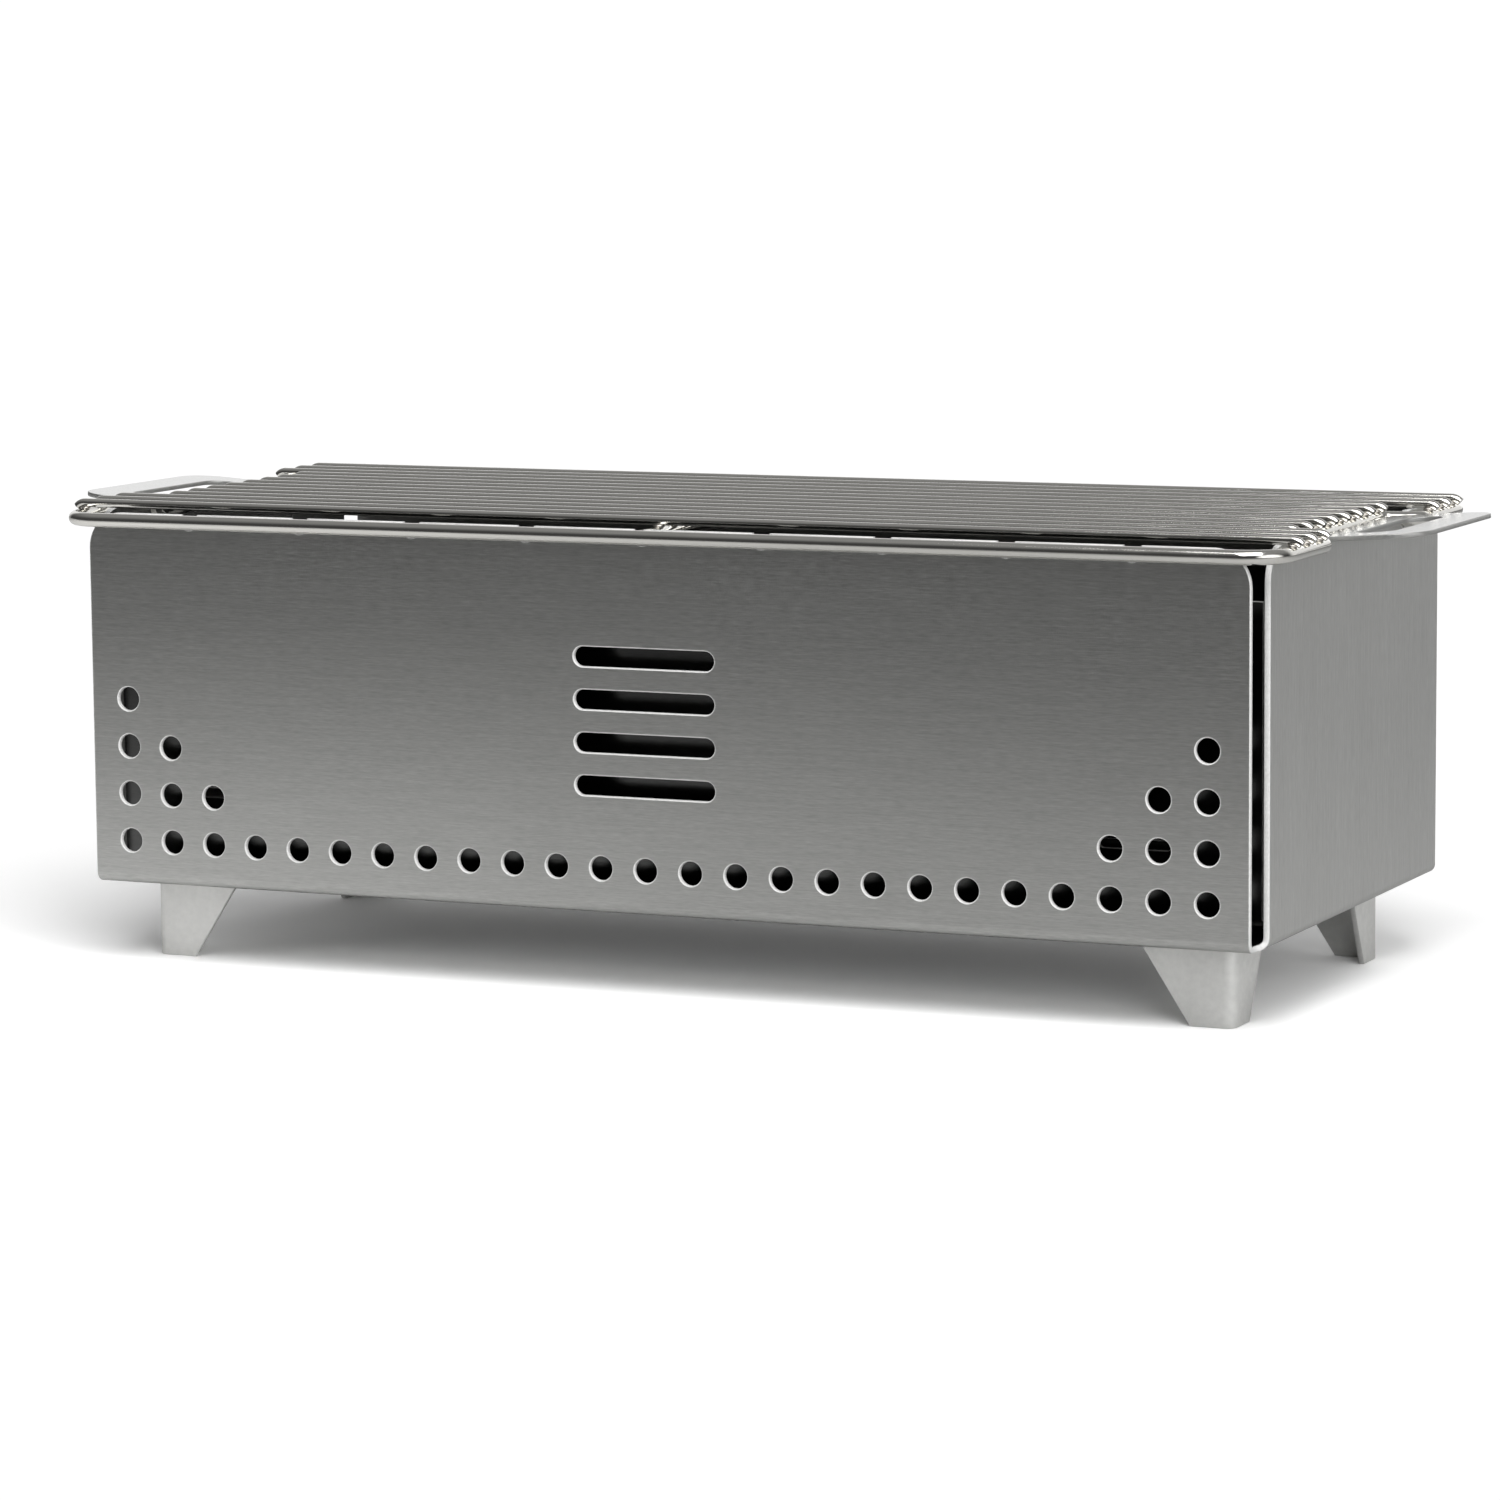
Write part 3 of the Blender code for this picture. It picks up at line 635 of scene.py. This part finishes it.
def make_camera():
    level_back = Vector((math.sin(CAMERA_TURN), -math.cos(CAMERA_TURN), 0))
    back = level_back * math.cos(CAMERA_PITCH) + Vector((0, 0, math.sin(CAMERA_PITCH)))
    right = Vector((math.cos(CAMERA_TURN), math.sin(CAMERA_TURN), 0))
    up = back.cross(right)
    rolled_right = right * math.cos(CAMERA_ROLL) + up * math.sin(CAMERA_ROLL)
    rolled_up = up * math.cos(CAMERA_ROLL) - right * math.sin(CAMERA_ROLL)
    camera = bpy.data.cameras.new("camera")
    camera.lens = CAMERA_LENS
    camera.sensor_width = 36
    camera.clip_start = 0.05
    camera.clip_end = 50
    holder = new_object("camera", camera)
    columns = Matrix((rolled_right, rolled_up, back)).transposed()
    holder.matrix_world = Matrix.Translation(CAMERA_PLACE) @ columns.to_4x4()
    bpy.context.scene.camera = holder


def glow(nodes, link, direction, toward, inner, outer, strength):
    """Light from one part of the sky: full within the inner angle, none past the outer one."""
    facing = nodes.new("ShaderNodeVectorMath")
    facing.operation = "DOT_PRODUCT"
    link(direction, facing.inputs[0])
    facing.inputs[1].default_value = Vector(toward).normalized()
    low, high = math.cos(math.radians(outer)), math.cos(math.radians(inner))
    soft = spread(nodes, link, facing.outputs["Value"], low, high, 0.0, strength)
    soft.node.interpolation_type = "SMOOTHSTEP"
    return soft


def make_world():
    """White behind everything; what the steel reflects is dim in front and bright low behind."""
    world = bpy.data.worlds.new("studio")
    bpy.context.scene.world = world
    world.use_nodes = True
    nodes, link = world.node_tree.nodes, world.node_tree.links.new
    nodes.clear()
    place = nodes.new("ShaderNodeTexCoord")
    direction = place.outputs["Generated"]
    level = SKY_BASE
    for toward, inner, outer, strength in SKY_GLOWS:
        more = glow(nodes, link, direction, toward, inner, outer, strength)
        level = arithmetic(nodes, link, "ADD", level, more)
    light = nodes.new("ShaderNodeBackground")
    link(level, light.inputs["Strength"])
    white = nodes.new("ShaderNodeBackground")
    white.inputs["Color"].default_value = (1, 1, 1, 1)
    white.inputs["Strength"].default_value = WHITE
    seen = nodes.new("ShaderNodeLightPath")
    mix = nodes.new("ShaderNodeMixShader")
    link(seen.outputs["Is Camera Ray"], mix.inputs["Fac"])
    link(light.outputs["Background"], mix.inputs[1])
    link(white.outputs["Background"], mix.inputs[2])
    out = nodes.new("ShaderNodeOutputWorld")
    link(mix.outputs["Shader"], out.inputs["Surface"])


def make_floor():
    """A pale floor that fades into white; what the steel reflects of it is dimmer."""
    mesh = bpy.data.meshes.new("floor")
    reach = FLOOR_REACH
    corners = [(-reach, -reach, 0), (reach, -reach, 0), (reach, reach, 0), (-reach, reach, 0)]
    mesh.from_pydata(corners, [], [(0, 1, 2, 3)])
    floor = new_object("floor", mesh)
    material = bpy.data.materials.new("pale floor")
    material.use_nodes = True
    nodes, link = material.node_tree.nodes, material.node_tree.links.new
    nodes.clear()
    pale = nodes.new("ShaderNodeBsdfDiffuse")
    pale.inputs["Color"].default_value = (FLOOR_SEEN, FLOOR_SEEN, FLOOR_SEEN, 1)
    dim = nodes.new("ShaderNodeBsdfDiffuse")
    place = nodes.new("ShaderNodeTexCoord")
    across = nodes.new("ShaderNodeSeparateXYZ")
    link(place.outputs["Object"], across.inputs["Vector"])
    front = spread(nodes, link, across.outputs["Y"], *FLOOR_FRONT)
    back = spread(nodes, link, across.outputs["Y"], *FLOOR_BACK)
    right = spread(nodes, link, across.outputs["X"], *FLOOR_RIGHT)
    level = arithmetic(nodes, link, "MULTIPLY", front, back)
    link(arithmetic(nodes, link, "MULTIPLY", level, right), dim.inputs["Color"])
    away = nodes.new("ShaderNodeVectorMath")
    away.operation = "LENGTH"
    link(place.outputs["Object"], away.inputs[0])
    faded = spread(nodes, link, away.outputs["Value"], *FLOOR_BLEND, 0.0, 1.0)
    white = nodes.new("ShaderNodeEmission")
    white.inputs["Strength"].default_value = WHITE
    far = nodes.new("ShaderNodeMixShader")
    link(faded, far.inputs["Fac"])
    link(pale.outputs["BSDF"], far.inputs[1])
    link(white.outputs["Emission"], far.inputs[2])
    seen = nodes.new("ShaderNodeLightPath")
    mix = nodes.new("ShaderNodeMixShader")
    link(seen.outputs["Is Camera Ray"], mix.inputs["Fac"])
    link(dim.outputs["BSDF"], mix.inputs[1])
    link(far.outputs["Shader"], mix.inputs[2])
    out = nodes.new("ShaderNodeOutputMaterial")
    link(mix.outputs["Shader"], out.inputs["Surface"])
    mesh.materials.append(material)


def make_lamp(name, place, width, height, power, mirrored):
    """A lamp that isn't mirrored lights only what scatters light, such as a laser-cut edge."""
    lamp = bpy.data.lights.new(name, "AREA")
    lamp.shape = "RECTANGLE"
    lamp.size = width
    lamp.size_y = height
    lamp.energy = power
    holder = new_object(name, lamp)
    holder.visible_glossy = mirrored
    aim = Vector(LAMP_TARGET) - Vector(place)
    turn = aim.to_track_quat("-Z", "Y").to_matrix().to_4x4()
    holder.matrix_world = Matrix.Translation(place) @ turn


# Outer body


def vent_outlines(base, columns):
    """A long wall's vent holes, in the blank; base is the blank's y at their lowest row."""
    places = spaced(HOLE_COLUMNS, HOLE_PITCH)
    outlines = [circle(x, base, HOLE_DIAMETER) for x in places]
    for row, count in enumerate(columns, start=1):
        for x in places[:count] + places[-count:]:
            outlines.append(circle(x, base + row * HOLE_PITCH, HOLE_DIAMETER))
    return outlines


def rim_with_notches(half_width, top, notches):
    """A wall's end from right to left: rounded corners, with U notches down from the edge."""
    points = arc(half_width - WALL_CORNER, top - WALL_CORNER, WALL_CORNER, 0, 90, 10)
    for x, width, depth in reversed(notches):
        radius = width / 2
        points.append((x + radius, top))
        points += arc(x, top - depth + radius, radius, 0, -180, 12)
        points.append((x - radius, top))
    points += arc(-half_width + WALL_CORNER, top - WALL_CORNER, WALL_CORNER, 90, 180, 10)
    return points


def side_rim(half_width, top):
    """A side wall's end: a slot for each stepping rod and a lowered stretch between them."""
    slot_y = RECESS_Y + GAP
    radius = RAIL_SLOT_WIDTH / 2
    points = arc(half_width - WALL_CORNER, top - WALL_CORNER, WALL_CORNER, 0, 90, 10)
    low = top - HANDLE_RECESS_DEPTH
    centre = top - RAIL_SLOT_DEPTH + radius
    points.append((slot_y + radius, top))
    points += arc(slot_y, centre, radius, 0, -150, 12)
    low_end = slot_y - radius + RECESS_MEETS_SLOT
    points += [(low_end, low), (-low_end, low)]
    points += arc(-slot_y, centre, radius, -30, -180, 12)
    points.append((-slot_y - radius, top))
    points += arc(-half_width + WALL_CORNER, top - WALL_CORNER, WALL_CORNER, 90, 180, 10)
    return points


def make_outer_body(finish, edge):
    low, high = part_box("outer_body")
    width, depth, height = high - low
    middle_radius = BODY_BEND - BODY_SHEET / 2
    fold = math.pi / 2
    flat_x = width / 2 - BODY_BEND
    flat_y = depth / 2 - BODY_BEND
    bend = middle_radius * fold
    wall = height - BODY_BEND
    half_front = width / 2 - FRONT_EDGE_INSET
    half_side = depth / 2 - SIDE_EDGE_INSET
    end_x = flat_x + bend + wall
    end_y = flat_y + bend + wall
    notches = [(x, NOTCH_WIDTH, NOTCH_DEPTH) for x in spaced(NOTCH_COUNT, NOTCH_PITCH)]
    back_wall = rim_with_notches(half_front, end_y, notches)
    side_wall = side_rim(half_side, end_x)
    relief = CORNER_RELIEF

    def fillet(sign_x, sign_y, start):
        centre_x = sign_x * (half_front + relief)
        centre_y = sign_y * (half_side + relief)
        return arc(centre_x, centre_y, relief, start, start - 90, 8)

    outline = list(back_wall)
    outline += fillet(-1, 1, 360)
    outline += [(-b, a) for a, b in side_wall]
    outline += fillet(-1, -1, 90)
    outline += [(-a, -b) for a, b in back_wall]
    outline += fillet(1, -1, 180)
    outline += [(b, -a) for a, b in side_wall]
    outline += fillet(1, 1, 270)
    base = flat_y + bend - BODY_BEND + HOLE_ROW_HEIGHT
    back_vents = vent_outlines(base, HOLE_STEPS)
    front_vents = [[(x, -y) for x, y in hole] for hole in back_vents]
    louvre_middle = flat_y + bend - BODY_BEND + height / 2
    louvres = [
        obround(0, -(louvre_middle + y), LOUVRE_LENGTH, LOUVRE_HEIGHT)
        for y in spaced(LOUVRE_COUNT, LOUVRE_PITCH)
    ]
    rivet_holes = [circle(x, y, RIVET_SHANK + GAP, 20) for x, y in rivet_places()]
    holes = back_vents + front_vents + louvres + rivet_holes
    body = blank("outer_body_sheet", [outline] + holes, BODY_SHEET)
    moves_x = fold_moves(flat_x, middle_radius, fold) + [(1.0, 0.0)]
    moves_y = fold_moves(flat_y, middle_radius, fold) + [(1.0, 0.0)]
    folded(body, moves_x, moves_y, low.z + BODY_SHEET / 2)
    paint(body, finish, edge)
    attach(body, "body")
    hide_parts("outer_body")


# Feet


FEET = ("foot_front_left", "foot_front_right", "foot_back_left", "foot_back_right")


def foot_rivets(node):
    return [f"foot_rivet_{node[5:]}_{number}" for number in (1, 2)]


def rivet_places():
    places = []
    for foot in FEET:
        for rivet in foot_rivets(foot):
            low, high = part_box(rivet)
            middle = (low + high) / 2
            places.append((middle.x, middle.y))
    return places


def make_foot(node, finish, edge):
    """Two tapering legs folded round a corner, and the flange that is riveted to the body."""
    low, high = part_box(node)
    sign_x = math.copysign(1, low.x + high.x)
    sign_y = math.copysign(1, low.y + high.y)
    corner_x = max(abs(low.x), abs(high.x))
    corner_y = max(abs(low.y), abs(high.y))
    height = high.z - low.z
    rise = height - FOOT_SHEET
    inner = FOOT_BEND - FOOT_SHEET

    def ring(z):
        share = min(z / rise, 1.0)
        leg_x = FOOT_LEG_BOTTOM + (FOOT_LEG_TOP_X - FOOT_LEG_BOTTOM) * share
        leg_y = FOOT_LEG_BOTTOM + (FOOT_LEG_TOP_Y - FOOT_LEG_BOTTOM) * share
        outer_side = [(leg_x, 0)] + arc(FOOT_BEND, FOOT_BEND, FOOT_BEND, 270, 180, 10) + [(0, leg_y)]
        inner_side = (
            [(FOOT_SHEET, leg_y)]
            + arc(FOOT_BEND, FOOT_BEND, inner, 180, 270, 10)
            + [(leg_x, FOOT_SHEET)]
        )
        points = outer_side + inner_side
        return [(sign_x * (corner_x - u), sign_y * (corner_y - v), z) for u, v in points]

    levels = [0.0, rise, height]
    shape = bmesh.new()
    rings = [[shape.verts.new(point) for point in ring(z)] for z in levels]
    count = len(rings[0])
    for lower, upper in zip(rings, rings[1:]):
        for i in range(count):
            j = (i + 1) % count
            shape.faces.new((lower[i], lower[j], upper[j], upper[i]))
    half = count // 2
    for level in (rings[0], rings[-1]):
        for i in range(half - 1):
            shape.faces.new((level[i], level[i + 1], level[count - 2 - i], level[count - 1 - i]))
    bmesh.ops.recalc_face_normals(shape, faces=shape.faces)
    mesh = bpy.data.meshes.new(node + "_plate")
    shape.to_mesh(mesh)
    shape.free()
    leg = new_object(node + "_plate", mesh)
    dress = leg.modifiers.new("dressed edge", "BEVEL")
    dress.width = SHEET_BREAK
    dress.segments = 2
    dress.limit_method = "ANGLE"
    dress.angle_limit = math.radians(60)
    leg = solid_of(leg, node + "_legs")

    corners = [(FOOT_BEND, FOOT_FLANGE_INSET), (FOOT_FLANGE_LENGTH, FOOT_FLANGE_INSET)]
    corners += [(FOOT_FLANGE_LENGTH, FOOT_FLANGE_DEPTH), (FOOT_BEND, FOOT_FLANGE_DEPTH)]
    outline = [(sign_x * (corner_x - u), sign_y * (corner_y - v)) for u, v in corners]
    flange = blank(node + "_flange", [outline], FOOT_SHEET)
    flange.data.transform(Matrix.Translation((0, 0, height - FOOT_SHEET / 2)))
    foot = joined(node + "_plate", [leg, flange])
    finish_shading(foot)
    paint(foot, finish, edge)
    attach(foot, "body")
    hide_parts(node)


def joined(name, pieces):
    """One object from several, in the row frame."""
    shape = bmesh.new()
    for piece in pieces:
        shape.from_mesh(piece.data)
        bpy.data.objects.remove(piece)
    mesh = bpy.data.meshes.new(name)
    shape.to_mesh(mesh)
    shape.free()
    return new_object(name, mesh)


def lathe(name, profile, steps=32):
    """A closed form turned about Z from (radius, z) points that start and end on the axis."""
    shape = bmesh.new()
    verts = [shape.verts.new((radius, 0, z)) for radius, z in profile]
    edges = [shape.edges.new(pair) for pair in zip(verts, verts[1:])]
    bmesh.ops.spin(
        shape,
        geom=verts + edges,
        cent=(0, 0, 0),
        axis=(0, 0, 1),
        angle=math.tau,
        steps=steps,
        use_duplicate=False,
    )
    bmesh.ops.remove_doubles(shape, verts=shape.verts, dist=1e-6)
    bmesh.ops.recalc_face_normals(shape, faces=shape.faces)
    mesh = bpy.data.meshes.new(name)
    shape.to_mesh(mesh)
    shape.free()
    obj = new_object(name, mesh)
    finish_shading(obj, 40)
    return obj


def make_rivets(tree, finish):
    low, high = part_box(foot_rivets(FEET[0])[0])
    head = RIVET_HEAD / 2
    top = high.z - RIVET_HEAD_HEIGHT
    bottom = low.z + RIVET_HEAD_HEIGHT
    dome = arc(0, 0, 1.0, 0, 90, 6)
    upper = [(head * x, top + RIVET_HEAD_HEIGHT * y) for x, y in dome]
    lower = [(head * x, bottom - RIVET_HEAD_HEIGHT * y) for x, y in dome]
    profile = upper[::-1] + [(RIVET_SHANK / 2, top), (RIVET_SHANK / 2, bottom)] + lower
    shape = lathe("rivet_shape", profile)
    places = [(x, y, 0) for x, y in rivet_places()]
    rivets = copies("foot_rivets", tree, places, shape, finish)
    finish_shading(rivets, 40)
    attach(rivets, "body")
    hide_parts(*[name for foot in FEET for name in foot_rivets(foot)])


# Fire box and charcoal grid


def make_fire_box(finish, edge):
    """The box and both handles from one blank: up at the floor's edges, out at the handles."""
    low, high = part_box("fire_box")
    body_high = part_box("outer_body")[1]
    rim = body_high.z - BOX_RIM_DROP
    half_length = body_high.x - BODY_SHEET - BOX_END_GAP
    half_depth = (high.y - low.y) / 2
    radius = BOX_BEND - BOX_SHEET / 2
    fold = math.pi / 2
    bend = radius * fold
    flat_x = half_length - BOX_BEND
    flat_y = half_depth - BOX_BEND
    wall = rim - low.z - BOX_BEND
    end_x = flat_x + bend + wall
    end_y = flat_y + bend + wall
    handle_turn = fold - HANDLE_SLOPE
    handle_radius = HANDLE_BEND - BOX_SHEET / 2
    reach = high.x
    slope_run = math.tan(HANDLE_SLOPE)
    underside = high.z - BOX_SHEET / math.cos(HANDLE_SLOPE) - slope_run * (reach - half_length)
    fold_height = underside + BOX_SHEET / 2 - handle_radius * math.sin(handle_turn)
    start = handle_radius * (1 - math.cos(handle_turn))
    plate = (reach - (half_length - BOX_SHEET / 2) - start) / math.cos(HANDLE_SLOPE)
    ear_wall = fold_height - low.z - BOX_BEND
    ear_end = flat_x + bend + ear_wall + handle_radius * handle_turn + plate
    half_front = half_length - BOX_SHEET - BOX_SEAM
    half_end = half_depth - BOX_SEAM
    half_handle = HANDLE_WIDTH / 2
    fillet = HANDLE_FILLET

    def end_outline():
        points = [(half_end, flat_x + bend), (half_end, end_x)]
        points += [(half_handle + fillet, end_x)]
        points += arc(half_handle + fillet, end_x + fillet, fillet, 270, 180, 6)
        corner = HANDLE_CORNER
        points += arc(half_handle - corner, ear_end - corner, corner, 0, 90, 12)
        left = [(-a, b) for a, b in reversed(points)]
        return points + left

    long_wall = [(half_front, flat_y + bend), (half_front, end_y)]
    long_wall += [(-half_front, end_y), (-half_front, flat_y + bend)]
    end_wall = end_outline()
    outline = list(long_wall)
    outline += [(-b, a) for a, b in end_wall]
    outline += [(-a, -b) for a, b in long_wall]
    outline += [(b, -a) for a, b in end_wall]
    slot_at = ear_end - HAND_SLOT_EDGE
    slots = [
        moved(turned(obround(0, 0, HAND_SLOT_LENGTH, HAND_SLOT_WIDTH, 16)), sign * slot_at, 0)
        for sign in (-1, 1)
    ]
    level = flat_y + bend - BOX_BEND + SLIT_LEVEL
    slits = [
        obround(x, sign * level, SLIT_LENGTH, SLIT_HEIGHT)
        for x in spaced(SLIT_COUNT, SLIT_PITCH)
        for sign in (-1, 1)
    ]
    box = blank("fire_box_sheet", [outline] + slots + slits, BOX_SHEET, BOX_EDGE_BREAK)
    moves_x = fold_moves(flat_x, radius, fold)
    moves_x += [(ear_wall, 0.0), (handle_radius * handle_turn, -handle_turn), (1.0, 0.0)]
    moves_y = fold_moves(flat_y, radius, fold) + [(1.0, 0.0)]
    folded(box, moves_x, moves_y, low.z + BOX_SHEET / 2)
    paint(box, finish, edge)
    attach(box, "fire_box")
    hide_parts("fire_box")


def make_charcoal_grid(finish, edge):
    low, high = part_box("charcoal_grid")
    length, depth, height = high - low
    bend_outer = 2 * GRID_SHEET
    radius = bend_outer - GRID_SHEET / 2
    fold = math.pi / 2
    flat = length / 2 - bend_outer
    leg = height - bend_outer
    end = flat + radius * fold + leg
    half = depth / 2
    outline = [(end, -half), (end, half), (-end, half), (-end, -half)]
    slots = [
        obround(x, y, GRID_SLOT_LENGTH, GRID_SLOT_WIDTH)
        for x in spaced(GRID_COLUMNS, GRID_SLOT_PITCH_X)
        for y in spaced(GRID_ROWS, GRID_SLOT_PITCH_Y)
    ]
    grid = blank("charcoal_grid_sheet", [outline] + slots, GRID_SHEET)
    moves = [(flat, 0.0), (radius * fold, -fold), (1.0, 0.0)]
    folded(grid, moves, [], high.z - GRID_SHEET / 2)
    paint(grid, finish, edge)
    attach(grid, "charcoal_grid")
    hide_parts("charcoal_grid")


# Grate


def frame_points(rail_x, rail_y, level):
    """The frame's centre line, once round: it steps in beside each handle."""
    inner_x = rail_x - RECESS_DEPTH
    quarter = (
        arc(inner_x + RECESS_BEND, RECESS_Y - RECESS_BEND, RECESS_BEND, 180, 90, 10)
        + arc(rail_x - RECESS_BEND, RECESS_Y + RECESS_BEND, RECESS_BEND, 270, 360, 10)
        + arc(rail_x - FRAME_CORNER, rail_y - FRAME_CORNER, FRAME_CORNER, 0, 90, 16)
    )
    back_left = [(-x, y) for x, y in reversed(quarter)]
    front_left = [(-x, -y) for x, y in quarter]
    front_right = [(x, -y) for x, y in reversed(quarter)]
    return [(x, y, level) for x, y in quarter + back_left + front_left + front_right]


def rod_points(rail_x, level):
    """A top rod's centre line along X: each end bends down round the rail."""
    offset = FRAME_ROD / 2 + GAP + TOP_ROD / 2
    bent = [(x, 0, z) for x, z in arc(rail_x, level, offset, 90, 90 - ROD_HOOK, 8)]
    return [(-x, y, z) for x, y, z in reversed(bent)] + bent


def make_grate(tree, finish, weld):
    low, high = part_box("grate_frame")
    rail_x = high.x - FRAME_ROD / 2
    rail_y = high.y - FRAME_ROD / 2
    level = (low.z + high.z) / 2
    frame = sweep("grate_frame_rod", frame_points(rail_x, rail_y, level), FRAME_ROD, True, 6)
    paint(frame, finish)
    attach(frame, "grate")
    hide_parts("grate_frame")

    cross_low, cross_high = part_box("grate_cross_rod")
    cross_points = [(0, cross_low.y, level), (0, cross_high.y, level)]
    cross = sweep("grate_middle_rod", cross_points, FRAME_ROD, False, 6)
    paint(cross, finish)
    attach(cross, "grate")
    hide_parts("grate_cross_rod")

    places = spaced(ROD_COUNT, ROD_PITCH)
    groups = (
        ("grate_rods_front", range(1, SHORT_RODS.start), rail_x),
        ("grate_rods_middle", SHORT_RODS, rail_x - RECESS_DEPTH),
        ("grate_rods_back", range(SHORT_RODS.stop, ROD_COUNT + 1), rail_x),
    )
    beads = []
    for name, numbers, end_x in groups:
        shape = sweep("rod_shape", rod_points(end_x, level), TOP_ROD, False, 4)
        rows = [(0, places[number - 1], 0) for number in numbers]
        rods = copies(name, tree, rows, shape, finish)
        finish_shading(rods, 40)
        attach(rods, "grate")
        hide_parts(*[f"grate_rod_{number:02d}" for number in numbers])
        bead_z = level + FRAME_ROD / 2 + GAP / 2
        beads += [(x, y, bead_z) for _, y, _ in rows for x in (-end_x, 0, end_x)]
    half_round = arc(0, 0, 1, 90, -90, 10)
    bead = lathe("bead_shape", [(BEAD_RADIUS * x, BEAD_HALF_HEIGHT * y) for x, y in half_round], 16)
    welds = copies("grate_weld_beads", tree, beads, bead, weld, *BEAD_SIZES, seed=5)
    finish_shading(welds, 60)
    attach(welds, "grate")


def main():
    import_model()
    bpy.context.scene.view_settings.view_transform = "Standard"
    make_camera()
    make_world()
    make_floor()
    for lamp in LAMPS:
        make_lamp(*lamp)

    body_colour = (0.585, 0.587, 0.57)
    # the body's inner faces take painted shade at half their colour
    body_finish = brushed_sheet("body brushed sheet", body_colour, 0.34, 0.75, 0.20, inner=0.5)
    # the fire box's colour takes painted shade below its rim
    box_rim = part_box("outer_body")[1].z - BOX_RIM_DROP
    box_colour = (0.72, 0.72, 0.71)
    box_finish = brushed_sheet("fire box brushed sheet", box_colour, 0.20, 0.5, 0.10, box_rim)
    grid_finish = brushed_sheet("charcoal grid sheet", (0.48, 0.48, 0.47), 0.42, 0.3, 0.15)
    edge_finish = cut_edge("bright laser-cut edge", (0.63, 0.63, 0.62), 0.0)
    dull_edge_finish = cut_edge("dull laser-cut edge", (0.38, 0.38, 0.37), 0.8)
    foot_finish = matt_sheet("foot sheet")
    rod_finish = bright_rod("bright rod", 0.12)
    rivet_finish = bright_rod("rivet metal", 0.22)
    weld_finish = weld_metal("weld bead")

    tree = copies_tree()
    make_outer_body(body_finish, edge_finish)
    for node in FEET:
        make_foot(node, foot_finish, edge_finish)
    make_rivets(tree, rivet_finish)
    make_fire_box(box_finish, dull_edge_finish)
    make_charcoal_grid(grid_finish, dull_edge_finish)
    make_grate(tree, rod_finish, weld_finish)


main()
